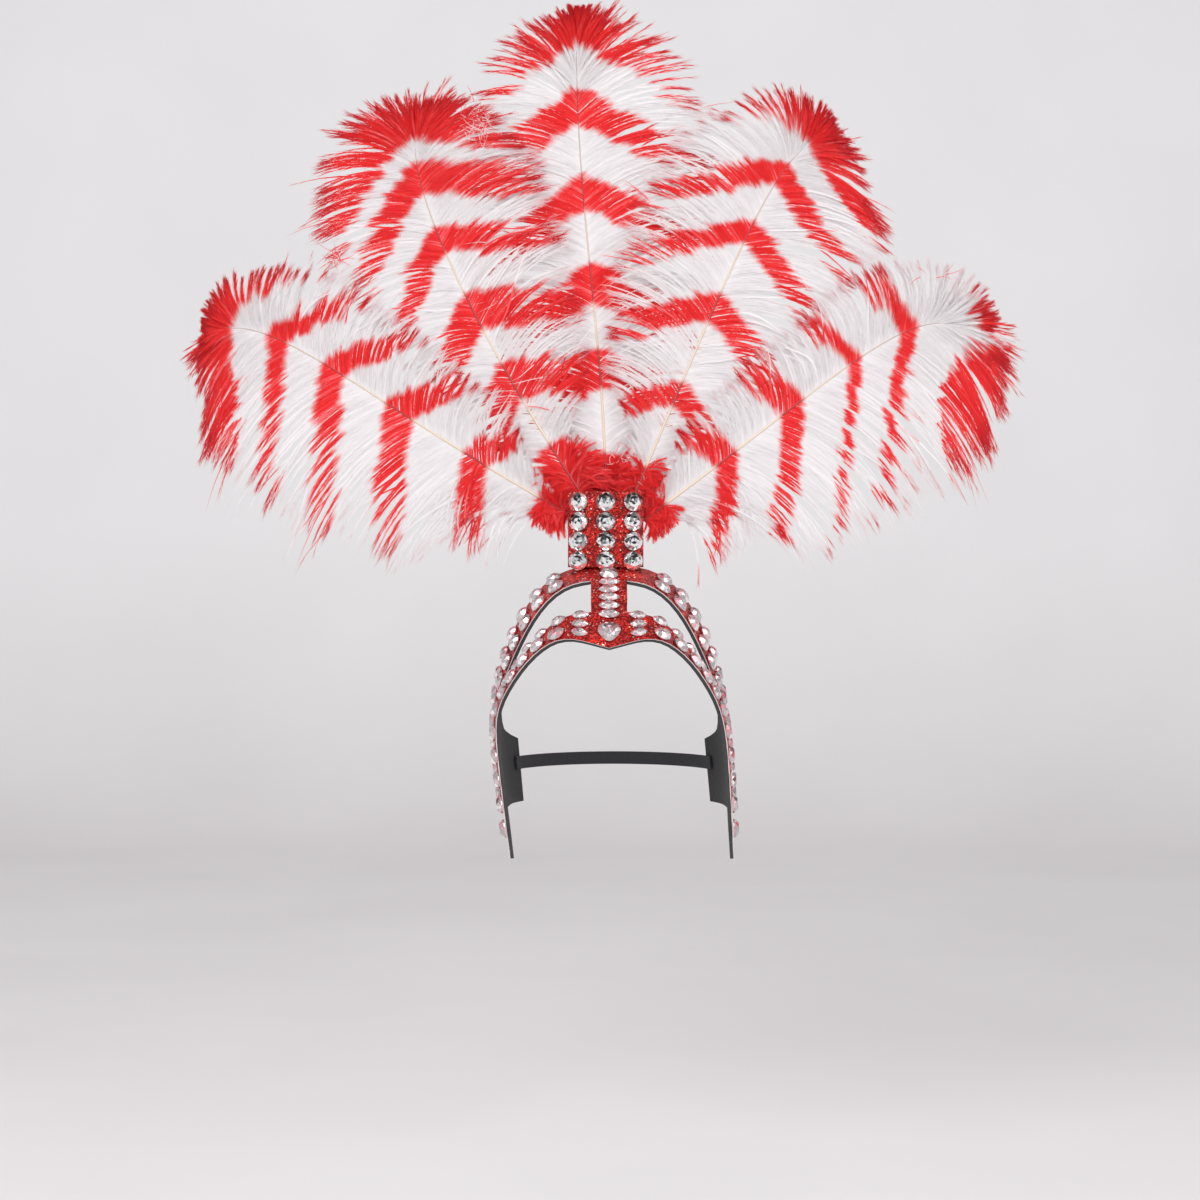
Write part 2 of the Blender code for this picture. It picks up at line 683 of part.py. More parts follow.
def main():
    for old in list(bpy.data.objects):
        bpy.data.objects.remove(old)
    parts = bpy.data.collections.new("feather_headdress")
    cutters = bpy.data.collections.new("cutters")
    bpy.context.scene.collection.children.link(parts)
    bpy.context.scene.collection.children.link(cutters)
    tree, front = build_crown(parts)
    plate_back = COVER + GAP + FOAM
    foot = seat_height(tree, front, PLATE_WIDTH, 0.0, plate_back)
    build_plate(parts, front, foot)
    sleeve_foot = seat_height(tree, front, SLEEVE_WIDTH, plate_back, plate_back + SLEEVE_DEPTH)
    build_sleeve(parts, cutters, front, max(foot, sleeve_foot), foot + PLATE_HEIGHT)
    for plume in PLUMES:
        build_plume(plume, parts, front, foot + PLATE_HEIGHT)


main()
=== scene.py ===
"""Looks of the carnival feather headdress: plumes of fine barbs, cut crystals, glitter cloth and foam.

Metres throughout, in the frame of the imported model.
"""

from math import radians

import bmesh
import bpy
import numpy as np
from mathutils import Matrix, Vector


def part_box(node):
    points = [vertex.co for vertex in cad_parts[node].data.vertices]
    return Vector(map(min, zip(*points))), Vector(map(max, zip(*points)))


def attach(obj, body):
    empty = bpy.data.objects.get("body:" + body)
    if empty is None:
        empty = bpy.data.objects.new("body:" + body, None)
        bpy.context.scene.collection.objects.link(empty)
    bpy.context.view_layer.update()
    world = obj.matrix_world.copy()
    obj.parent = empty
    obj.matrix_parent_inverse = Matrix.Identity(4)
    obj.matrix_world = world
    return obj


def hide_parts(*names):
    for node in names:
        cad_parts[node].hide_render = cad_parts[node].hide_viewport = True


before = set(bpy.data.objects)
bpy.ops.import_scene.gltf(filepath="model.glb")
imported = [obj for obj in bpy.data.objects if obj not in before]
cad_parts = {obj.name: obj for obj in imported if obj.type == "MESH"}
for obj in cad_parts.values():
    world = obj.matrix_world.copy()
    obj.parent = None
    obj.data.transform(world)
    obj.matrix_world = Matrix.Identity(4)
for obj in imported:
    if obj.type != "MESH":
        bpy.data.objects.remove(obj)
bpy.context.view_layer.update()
plate_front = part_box("plate_cover")[0][1]
fan_base_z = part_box("plate_cover")[1][2]

# The plumes' seeds count on from the first, and the stones' from the second
SEED = 20261128
STONE_SEED = SEED + 20

# Camera: fitted to the photo, level with the crown
CAMERA_PLACE = (-0.0066, -1.6466, 0.0286)
CAMERA_LENS = 65.0
CAMERA_SENSOR = 36.0

# Room: a pale floor that runs up into a pale wall, the wall painted brighter as painted light
FLOOR_Z = -0.42
ROOM_HALF = 4.0
WALL_Y = 2.8
SWEEP_RADIUS = 0.6
SWEEP_STEPS = 12

# Lights: name, place, width and height, and power
LIGHT_TARGET = (0, 0, 0.12)
LIGHTS = (
    ("key", (-1.3, -1.9, 1.5), (1.4, 1.4), 42),
    ("fill", (1.5, -1.7, 0.9), (1.4, 1.4), 26),
)
SURROUND_COLOUR = (0.97, 0.97, 1.0)
SURROUND_STRENGTH = 0.68

# The fan, as part.py has it
FAN_HEIGHT = 0.349
FAN_SPAN = 0.296
LAYER_START = 0.0062
LAYER_PITCH = 0.0045
PLATE_LAYERS = 0.0035
TIP_CURL = 0.030
BARB_LENGTH = 0.100
BARB_ROOT_ANGLE = 52
BARB_TIP_ANGLE = 96
BARB_DROOP = 0.10
OPEN_FROM = 0.4
OPEN_BY = 0.2
CLOSE_FROM = 0.8
CLOSE_BY = 0.8
# Both handles of a quill's curve together, in shares of its reach
QUILL_HANDLES = 0.75
# Each quill: layer, base in shares of the span and height, direction there in degrees, tip, direction there,
# and the share of its reach that the tip's handle takes
PLUMES = {
    "plume_centre": (2, (-0.007, 0.0), 91, (-0.080, 0.984), 89, 0.37),
    "plume_upper_left": (1, (-0.072, 0.0), 123, (-0.481, 0.733), 86, 0.10),
    "plume_upper_right": (1, (0.067, 0.0), 67, (0.497, 0.730), 32, 0.12),
    "plume_lower_left": (0, (-0.102, -0.046), 151, (-0.965, 0.335), 200, 0.15),
    "plume_lower_right": (0, (0.087, -0.060), 36, (0.857, 0.350), -14, 0.16),
}
# Barb lengths in shares of BARB_LENGTH at these shares of the quill, to its left and to its right
BARB_STATIONS = (0.0, 0.1, 0.3, 0.6, 0.85, 1.0)
BARB_SHARES = {
    "plume_centre": ((0.30, 0.60, 0.85, 0.95, 0.80, 0.16), (0.30, 0.65, 0.95, 1.12, 0.92, 0.16)),
    "plume_upper_left": ((0.25, 0.40, 0.65, 0.88, 0.76, 0.42), (0.25, 0.60, 0.95, 1.00, 0.80, 0.44)),
    "plume_upper_right": ((0.30, 0.60, 0.95, 0.95, 0.62, 0.32), (0.25, 0.50, 0.80, 1.02, 0.72, 0.32)),
    "plume_lower_left": ((0.32, 0.95, 1.15, 1.06, 0.68, 0.24), (0.25, 0.50, 0.66, 0.70, 0.45, 0.18)),
    "plume_lower_right": ((0.25, 0.45, 0.55, 0.64, 0.52, 0.40), (0.32, 0.95, 1.10, 1.15, 1.00, 0.56)),
}
# Where the dye changes along each quill, in shares of its length, from red at the base
BAND_EDGES = {
    "plume_centre": (0.089, 0.227, 0.314, 0.411, 0.500, 0.611, 0.687, 0.790, 0.866, 0.956),
    "plume_upper_left": (0.152, 0.285, 0.394, 0.492, 0.598, 0.711, 0.785, 0.872, 0.953, 1.010),
    "plume_upper_right": (0.074, 0.243, 0.312, 0.479, 0.561, 0.700, 0.766, 0.867, 0.934, 1.055),
    "plume_lower_left": (0.087, 0.236, 0.310, 0.460, 0.542, 0.660, 0.728, 0.828, 0.882, 0.970),
    "plume_lower_right": (0.077, 0.243, 0.316, 0.465, 0.543, 0.695, 0.735, 0.853, 0.905, 1.055),
}
# How far the bands fall back along the quill for each metre away from it: to its left, at its base and at
# its tip, and to its right, at its base and at its tip
BAND_SLANTS = {
    "plume_centre": ((0.68, 0.68), (0.60, 0.60)),
    "plume_upper_left": ((0.86, 0.86), (0.46, 0.06)),
    "plume_upper_right": ((0.76, 0.62), (0.58, 0.58)),
    "plume_lower_left": ((0.52, 0.52), (0.76, 0.76)),
    "plume_lower_right": ((0.28, 0.28), (0.98, 0.98)),
}
SLANT_CHANGE = (0.55, 0.95)
# How round the bands are at the quill and how soft their edges, in metres, and how far and how finely the
# edges wander
BAND_APEX = 0.004
BAND_SOFTNESS = 0.0045
BAND_WANDER = 0.016
BAND_NOISE = 120.0
# Times this, the dye's coordinate stays within a colour ramp past its last edge too
STRIPE_SCALE = 0.8
# At how many places a quill's length is measured, and at how many the bands are
LENGTH_SAMPLES = 201
BAND_SAMPLES = 41
# Growths of barbs on each side: how many, where on the quill, spread and outward splay of their directions
# in degrees, their length and its spread, the spread of their depths, the hairs on each, the share dyed all
# red, and how much their ends darken
GROWTHS = (
    {"name": "vane", "barbs": 262, "from": 0.0, "to": 1.0, "turn": 1.0, "splay": 0.0, "length": 1.0,
     "uneven": 0.035, "depth": 0.0006, "hairs": 72, "red": 0.0, "dark": 1.0},
    {"name": "tip", "barbs": 84, "from": 0.84, "to": 1.0, "turn": 7.0, "splay": -17.0, "length": 0.88,
     "uneven": 0.10, "depth": 0.0020, "hairs": 48, "red": 0.0, "dark": 1.0},
    {"name": "down", "barbs": 110, "from": 0.0, "to": 0.04, "turn": 8.0, "splay": 78.0, "length": 1.0,
     "uneven": 0.20, "depth": 0.0022, "hairs": 30, "red": 0.97, "dark": 0.15},
    {"name": "skirt", "barbs": 46, "from": 0.03, "to": 0.17, "turn": 5.0, "splay": 34.0, "length": 1.0,
     "uneven": 0.12, "depth": 0.0016, "hairs": 46, "red": 0.0, "dark": 0.6},
    {"name": "stray", "barbs": 20, "from": 0.08, "to": 0.74, "turn": 4.0, "splay": 0.0, "length": 1.14,
     "uneven": 0.09, "depth": 0.0020, "hairs": 5, "red": 0.0, "dark": 1.0},
)
# The down round each quill's foot is this long, whatever the barbs above it are
DOWN_LENGTH = {
    "plume_centre": 0.020,
    "plume_upper_left": 0.029,
    "plume_upper_right": 0.018,
    "plume_lower_left": 0.018,
    "plume_lower_right": 0.016,
}
# Plumes with a skirt of barbs that hang beside the plate: the side of the quill, and their length
SKIRTS = {"plume_lower_left": (1, 0.060), "plume_lower_right": (-1, 0.056)}
# Barb lengths near each tip in shares of the CAD locks, at these shares of the quill, to its left and to
# its right: the photo's plumes thin out there
TRIM_STATIONS = (0.72, 0.86, 0.93, 1.0)
TIP_TRIM = {
    "plume_centre": ((1.0, 1.0, 0.92, 0.84), (1.0, 1.0, 0.92, 0.84)),
    "plume_upper_left": ((1.0, 0.92, 0.84, 0.80), (1.0, 0.96, 0.90, 0.82)),
    "plume_upper_right": ((1.0, 1.0, 0.90, 0.92), (1.0, 0.82, 0.72, 0.86)),
    "plume_lower_left": ((1.0, 0.84, 0.70, 0.62), (1.0, 0.94, 0.80, 0.64)),
    "plume_lower_right": ((1.0, 1.0, 0.92, 0.84), (1.0, 0.86, 0.80, 0.80)),
}
# How far the last band is drawn in, in shares of the quill: at the quill's end, and far away from the quill
# to its left and to its right
RIM_PULL = {
    "plume_centre": (0.0, 0.0, 0.0),
    "plume_upper_left": (0.0, 0.0, 0.0),
    "plume_upper_right": (0.055, 0.0, 0.0),
    "plume_lower_left": (0.0, -0.105, 0.0),
    "plume_lower_right": (0.0, 0.0, -0.090),
}
RIM_REACH = 0.026
RIM_FROM = 0.93
# Frayed barbs over the vanes: (x, z) from the fan's base and spread in metres, how many, share of them red
FRAYS = {
    "plume_centre": ((0.0228, 0.0229, 0.026, 0.013, 80, 0.35),),
    "plume_upper_left": ((-0.0951, 0.2698, 0.009, 0.017, 70, 0.55),),
    "plume_upper_right": (),
    "plume_lower_left": ((-0.2005, 0.1703, 0.006, 0.007, 30, 0.60),),
    "plume_lower_right": ((0.2360, 0.1600, 0.020, 0.006, 6, 0.50),),
}
FRAY_STEPS = 6
FRAY_LENGTH = (0.006, 0.015)
FRAY_WIDTH = 0.0005
FRAY_TAPER = 0.6
FRAY_CURL = 70
FRAY_CURL_POWER = 1.5
FRAY_LIFT = 0.004
FRAY_DEPTH = 0.003
FRAY_SHADE = (0.3, 1)
FRAY_END = (0.5, 1.3)
# Clumps: how many barbs, how far they gather and from where on, and how much shorter the outer ones are
CLUMP_SIZES = (3, 7)
CLUMP_PULL = (0.55, 0.98)
CLUMP_FROM = 0.30
CLUMP_ROUNDING = 0.07
CLUMP_ROUND_POWER = 1.5
LEAST_SPREAD = 1e-6
# Barbs: where each starts in an even spacing, and how far and from where on it narrows
BARB_STEPS = 8
BARB_JITTER = (-0.3, 0.7)
BARB_WIDTH = 0.00150
BARB_TAPER = 0.86
BARB_TAPER_FROM = 0.35
# What its clump and the barb itself add to a barb's turn, length, droop and ragged dye
TURN_MIX = (0.7, 0.5)
LENGTH_MIX = (0.7, 0.6)
DROOP_MIX = (0.3, 0.25)
RAGGED_MIX = (0.0019, 0.0012)
# Along the barb, the turn grows from a lead at its root, and the ragged dye from the first share to both
TURN_LEAD = 0.2
TURN_FULL = 0.5
LAST_TURN = 1.5
RAGGED_GROWTH = (0.3, 1.8)
LENGTH_LIMITS = (0.55, 1.10)
TIP_FORWARDS = 0.003
# How far the barbs' flat sides look outwards, the spread of that, the spread up and down, and the spread
# aside of the frays and hairs
FACING_OUT = 0.12
FACING_SPREAD = 0.30
FACING_TILT = 0.20
STRAND_SPREAD = 0.5
# Hairs along the barbs: where the last starts, their length, and its share at the root and loss to the tip
HAIR_LAST_START = 0.94
HAIR_LENGTH = (0.008, 0.015)
HAIR_SHORTENING = (1.1, 0.45)
HAIR_PAST_TIP = 1.04
# Their lean in degrees with its curve, their lean in depth, and the shares of the barb's shade and their own
HAIR_LEAN = (3.0, 12.0)
HAIR_CURVE = 1.2
HAIR_DEPTH_LEAN = 0.09
HAIR_SHADE_MIX = (0.6, 0.4)
HAIR_WIDTH = 0.00024
HAIR_TAPER = 0.3
# Where the ends darken, along the barbs and along their hairs
BARB_END = (0.86, 1.02)
HAIR_END = (0.78, 1.04)
# Each quill ends this far down its bore, 2 mm short of the foot of the CAD quill
QUILL_IN_BORE = 0.016
QUILL_RADIUS = (0.0010, 0.00025)
QUILL_SIDES = 8
QUILL_STEPS = 60

# Stones: length, width and height, as part.py has them
ROUND = (0.0142, 0.0142, 0.0048)
OVAL = (0.0142, 0.0108, 0.0042)
SMALL_OVAL = (0.0130, 0.0078, 0.0036)
NAVETTE = (0.0155, 0.0075, 0.0036)
PEAR = (0.0184, 0.0186, 0.0042)
SMALL_NAVETTE = (0.0130, 0.0070, 0.0034)
TABLE_SHARE = 0.52
# Corners of the CAD stones' tables, and sides of the cut stones
ROUND_TABLE = 10
ROW_TABLE = 8
CUT_SIDES = 8
PEAR_SIDES = 12
PEAR_DOWN = (0, -0.3, -1)
# A flat face over this share of the largest is a stone's base, and not its table
TABLE_LIMIT = 0.5
# A stone in a row is an oval if it is longer than this, else a small oval if it is wider than this
OVAL_LENGTH = 0.0136
SMALL_OVAL_WIDTH = 0.0074
# Rings of a cut stone from its base up: share of its size, share of its height, turn in facets, and corners
# for each side. They are the base, the girdle's foot, the girdle, the main facets, the table and its inside.
STONE_RINGS = (
    (0.95, 0.0, 0.0, 2),
    (1.0, 0.16, 0.0, 2),
    (1.0, 0.30, 0.0, 2),
    (0.80, 0.72, 0.5, 1),
    (0.60, 1.0, 0.0, 1),
    (0.34, 1.0, 0.5, 1),
)
# Painted reflection of the facets, from dark at 0 to bright at 1: the middle, the loss where a facet looks
# up and throws back less of the pale room, and the spread
RIM_TONE = (0.56, 0.22, 0.14)
KITE_TONE = (0.58, 0.40, 0.18)
DEEP_TONE = (0.42, 0.50, 0.22)
CENTRE_TONE = (0.45, 0, 0.32)
# The spread of painted reflection between two facets side by side: at the rim, of a star and its kite, and
# deep in the table
RIM_SPREAD = 0.15
STAR_SPREAD = 0.20
DEEP_SPREAD = 0.22
# Painted reflection of the base, of the girdle's foot and of the girdle
BASE_TONE = 0.3
FOOT_TONE = 0.35
GIRDLE_TONE = 0.5
# How slim the navette's ends are, and the shield's width, narrowing, top and shoulders
NAVETTE_POWER = 0.35
SHIELD_WIDTH = 0.9
SHIELD_NARROWING = 0.35
SHIELD_TOP = 0.8
SHIELD_SHOULDERS = 0.7
# Edges shorter than these bound the cut rims of the foam and of the cloth
FOAM_RIM = 0.0024
CLOTH_RIM = 0.0008
# Edges that bend more than this stay sharp, and faces this parallel make one flat face
CREASE = radians(35)
FLAT = 0.999
WELD = 1e-6


# Objects and materials

def add_object(name, data):
    """An object of the scene that holds a mesh, a light or a camera."""
    made = bpy.data.objects.new(name, data)
    bpy.context.scene.collection.objects.link(made)
    return made


def set_inputs(target, inputs):
    """Sets inputs of a shader node by name, with a low line for each space."""
    for name, value in inputs.items():
        target.inputs[name.replace("_", " ")].default_value = value


def new_material(name, **inputs):
    """A material, its nodes and its Principled shader, with some of the shader's inputs set by name."""
    made = bpy.data.materials.new(name)
    made.use_nodes = True
    shader = made.node_tree.nodes["Principled BSDF"]
    set_inputs(shader, inputs)
    return made, made.node_tree, shader


def link(tree, source, target):
    """Joins an output to an input."""
    tree.links.new(source, target)


def node(tree, kind, **inputs):
    """A shader node with some of its inputs set by name."""
    made = tree.nodes.new(kind)
    set_inputs(made, inputs)
    return made


def over_object(tree, kind, **inputs):
    """A node that reads the place on the object, such as a texture, with some of its inputs set by name."""
    made = node(tree, kind, **inputs)
    where = tree.nodes.new("ShaderNodeTexCoord")
    link(tree, where.outputs["Object"], made.inputs["Vector"])
    return made


def add_bump(tree, shader, height, strength, distance):
    """Raises a material's surface by a height."""
    bump = node(tree, "ShaderNodeBump", Strength=strength, Distance=distance)
    link(tree, height, bump.inputs["Height"])
    link(tree, bump.outputs["Normal"], shader.inputs["Normal"])


def attribute(tree, name):
    """The output of a mesh attribute as a number."""
    made = tree.nodes.new("ShaderNodeAttribute")
    made.attribute_name = name
    return made.outputs["Fac"]


def maths(tree, operation, first, second):
    """A Math node over sockets or numbers."""
    made = tree.nodes.new("ShaderNodeMath")
    made.operation = operation
    for slot, value in enumerate((first, second)):
        if isinstance(value, (int, float)):
            made.inputs[slot].default_value = value
        else:
            link(tree, value, made.inputs[slot])
    return made.outputs[0]


def ramp(tree, factor, stops, interpolation="LINEAR"):
    """A colour ramp with (position, colour) stops."""
    made = tree.nodes.new("ShaderNodeValToRGB")
    made.color_ramp.interpolation = interpolation
    elements = made.color_ramp.elements
    while len(elements) < len(stops):
        elements.new(0.5)
    for element, (position, colour) in zip(elements, stops):
        element.position = position
        element.color = (*colour, 1)
    link(tree, factor, made.inputs["Fac"])
    return made.outputs["Color"]


def mix_colour(tree, factor, first, second, blend="MIX"):
    """A colour mix; each input is a socket or a colour."""
    made = tree.nodes.new("ShaderNodeMix")
    made.data_type = "RGBA"
    made.blend_type = blend
    sockets = [s for s in made.inputs if s.enabled]
    for socket, value in zip(sockets, (factor, first, second)):
        if isinstance(value, (int, float)):
            socket.default_value = value
        elif isinstance(value, tuple):
            socket.default_value = (*value, 1)
        else:
            link(tree, value, socket)
    return [s for s in made.outputs if s.enabled][0]


# Plumes

def direction(degrees):
    """Unit vectors in the fan's plane, as (x, z) rows, for angles from +X towards +Z."""
    angle = np.radians(degrees)
    return np.stack([np.cos(angle), np.sin(angle)], axis=-1)


def quill_points(plume, share):
    """Quill points as (x, z) rows from the fan's base, and directions in degrees, at shares of the curve."""
    _, base, base_angle, tip, tip_angle, bend = PLUMES[plume]
    start = np.array([base[0] * FAN_SPAN, base[1] * FAN_HEIGHT])
    end = np.array([tip[0] * FAN_SPAN, tip[1] * FAN_HEIGHT])
    reach = np.linalg.norm(end - start)
    first = start + direction(base_angle) * reach * (QUILL_HANDLES - bend)
    second = end - direction(tip_angle) * reach * bend
    t = np.asarray(share, dtype=float)[..., None]
    rest = 1 - t
    point = start * rest ** 3 + first * 3 * rest ** 2 * t + second * 3 * rest * t ** 2 + end * t ** 3
    slope = (first - start) * rest ** 2 + (second - first) * 2 * rest * t + (end - second) * t ** 2
    return point, np.degrees(np.arctan2(slope[..., 1], slope[..., 0]))


def quill_table(plume):
    """Lengths along the quill at even shares of its curve, for turning one into the other."""
    shares = np.linspace(0, 1, LENGTH_SAMPLES)
    points, _ = quill_points(plume, shares)
    steps = np.linalg.norm(np.diff(points, axis=0), axis=1)
    return shares, np.concatenate([[0], np.cumsum(steps)])


def fan_y(layer, points):
    """y of fan points: layers behind the plate, curling forwards with the distance from the base."""
    first = plate_front + PLATE_LAYERS + LAYER_START
    return first + layer * LAYER_PITCH - TIP_CURL * (np.linalg.norm(points, axis=-1) / FAN_HEIGHT) ** 2


def place(flat, layer, lift):
    """Points in space from fan points, lifted towards the back by lift."""
    path = np.empty((*flat.shape[:-1], 3))
    path[..., 0] = flat[..., 0]
    path[..., 1] = fan_y(layer, flat) + lift
    path[..., 2] = flat[..., 1] + fan_base_z
    return path


def facings(path, aside, up=0.0):
    """Normals of ribbons that look forwards, each turned aside and up by its own amount."""
    facing = np.zeros_like(path)
    facing[..., 0] = np.reshape(aside, (-1, 1))
    facing[..., 1] = -1
    facing[..., 2] = np.reshape(up, (-1, 1))
    return facing


def ribbon_mesh(paths, widths, facing, values):
    """Points, faces and point values of many tapering ribbons.

    paths is (ribbons, steps, 3), widths (ribbons, steps) with the last step taken as a point, facing the
    ribbons' normals (ribbons, steps, 3), and values a dict of (ribbons, steps) numbers.
    """
    count, steps, _ = paths.shape
    along = np.gradient(paths, axis=1)
    side = np.cross(along, facing)
    side /= np.linalg.norm(side, axis=-1, keepdims=True) + 1e-12
    half = side * widths[..., None] / 2
    left, right = paths[:, :-1] + half[:, :-1], paths[:, :-1] - half[:, :-1]
    rows = np.stack([left, right], axis=2).reshape(count, -1, 3)
    points = np.concatenate([rows, paths[:, -1:]], axis=1)
    size = points.shape[1]
    base = (np.arange(count) * size)[:, None]
    low = np.arange(steps - 2) * 2
    quads = np.stack([low, low + 1, low + 3, low + 2], axis=1)
    quads = (base[:, :, None] + quads[None]).reshape(-1, 4)
    tips = base + np.array([[size - 3, size - 2, size - 1]])
    spread = {}
    for name, value in values.items():
        double = np.repeat(value[:, :-1], 2, axis=1)
        spread[name] = np.concatenate([double, value[:, -1:]], axis=1).reshape(-1)
    return points.reshape(-1, 3), quads, tips, spread


def tube_mesh(path, radii, sides):
    """Points and quads of a tube with open ends."""
    along = np.gradient(path, axis=0)
    along /= np.linalg.norm(along, axis=1, keepdims=True)
    across = np.cross(along, np.array([0.0, 1.0, 0.0]))
    across /= np.linalg.norm(across, axis=1, keepdims=True)
    over = np.cross(along, across)
    turn = np.arange(sides) * 2 * np.pi / sides
    ring = np.cos(turn)[None, :, None] * across[:, None] + np.sin(turn)[None, :, None] * over[:, None]
    points = (path[:, None] + ring * radii[:, None, None]).reshape(-1, 3)
    step = np.arange(len(path) - 1)[:, None] * sides
    k = np.arange(sides)[None]
    following = (k + 1) % sides
    quads = np.stack([step + k, step + following, step + sides + following, step + sides + k], axis=-1)
    return points, quads.reshape(-1, 4)


def mesh_from_parts(name, parts):
    """One mesh from (points, quads, triangles, values, material index) parts."""
    points = np.concatenate([part[0] for part in parts])
    offset, loops, sizes, slots = 0, [], [], []
    for part_points, quads, triangles, _, slot in parts:
        for faces in (quads, triangles):
            if faces is not None and len(faces):
                loops.append((faces + offset).reshape(-1))
                sizes.append(np.full(len(faces), faces.shape[1]))
                slots.append(np.full(len(faces), slot))
        offset += len(part_points)
    loops, sizes, slots = np.concatenate(loops), np.concatenate(sizes), np.concatenate(slots)
    starts = np.concatenate([[0], np.cumsum(sizes)[:-1]])
    mesh = bpy.data.meshes.new(name)
    mesh.vertices.add(len(points))
    mesh.vertices.foreach_set("co", points.reshape(-1).astype(np.float32))
    mesh.loops.add(len(loops))
    mesh.loops.foreach_set("vertex_index", loops.astype(np.int32))
    mesh.polygons.add(len(sizes))
    mesh.polygons.foreach_set("loop_start", starts.astype(np.int32))
    mesh.polygons.foreach_set("material_index", slots.astype(np.int32))
    mesh.update(calc_edges=True)
    for key in parts[0][3]:
        values = np.concatenate([part[3][key] for part in parts]).astype(np.float32)
        mesh.attributes.new(key, "FLOAT", "POINT").data.foreach_set("value", values)
    mesh.validate()
    return mesh


def barb_lengths(plume, side, share):
    """Barb lengths at shares of the quill."""
    return BARB_LENGTH * np.interp(share, BARB_STATIONS, BARB_SHARES[plume][0 if side > 0 else 1])


def smooth_step(low, high, value):
    """A soft step from 0 at low to 1 at high."""
    share = np.clip((value - low) / (high - low), 0, 1)
    return share * share * (3 - 2 * share)


def barb_paths(plume, side, share, reach, turn, length, droop):
    """Barb points in the fan's plane, (barbs, steps, 2), from arrays of (barbs, steps)."""
    root, angle = quill_points(plume, share)
    opening = np.minimum(1.0, OPEN_FROM + share / OPEN_BY)
    closing = 1 - CLOSE_BY * np.clip((share - CLOSE_FROM) / (1 - CLOSE_FROM), 0, 1)
    first = BARB_ROOT_ANGLE * opening * closing + turn
    last = BARB_TIP_ANGLE * opening * closing + LAST_TURN * turn
    middle = first + (last - first) * reach / 2
    path = root + direction(angle + side * middle) * (length * reach)[..., None]
    path[..., 1] -= droop * length * reach ** 2
    return path


def stripe_values(plume, table, points):
    """The dye coordinate of fan points: the quill length where their band meets the quill, as a share."""
    shares, lengths = table
    samples = np.linspace(0, 1, BAND_SAMPLES)
    quill, angle = quill_points(plume, samples)
    flat = points.reshape(-1, 2)
    along = direction(angle)
    best = np.full(len(flat), np.inf)
    value = np.zeros(len(flat))
    on_left = np.zeros(len(flat), dtype=bool)
    at = np.interp(samples, shares, lengths)
    change = smooth_step(*SLANT_CHANGE, samples)
    lefts, rights = (base + (tip - base) * change for base, tip in BAND_SLANTS[plume])
    for k in range(len(samples)):
        gap = flat - quill[k]
        distance = np.linalg.norm(gap, axis=1)
        forward = gap @ along[k]
        aside = gap[:, 1] * along[k, 0] - gap[:, 0] * along[k, 1]
        away = np.sqrt(aside ** 2 + BAND_APEX ** 2) - BAND_APEX
        falling = away * np.where(aside > 0, lefts[k], rights[k])
        here = distance < best
        best = np.where(here, distance, best)
        value = np.where(here, at[k] + forward + falling, value)
        on_left = np.where(here, aside > 0, on_left)
    value /= lengths[-1]
    near, far_left, far_right = RIM_PULL[plume]
    far = np.where(on_left, far_left, far_right)
    pull = far + (near - far) * np.exp(-(best / RIM_REACH) ** 2)
    value += pull * smooth_step(RIM_FROM, 1.0, value)
    return value.reshape(points.shape[:-1])


def clumps(share, random):
    """For sorted shares: each barb's clump, the clump's middle share, and the place in it from -1 to 1."""
    count = len(share)
    sizes = random.integers(*CLUMP_SIZES, count)
    number = np.repeat(np.arange(count), sizes)[:count]
    middle = (np.bincount(number, share) / np.bincount(number))[number]
    spread = np.full(number[-1] + 1, LEAST_SPREAD)
    np.maximum.at(spread, number, np.abs(share - middle))
    return number, middle, (share - middle) / spread[number]


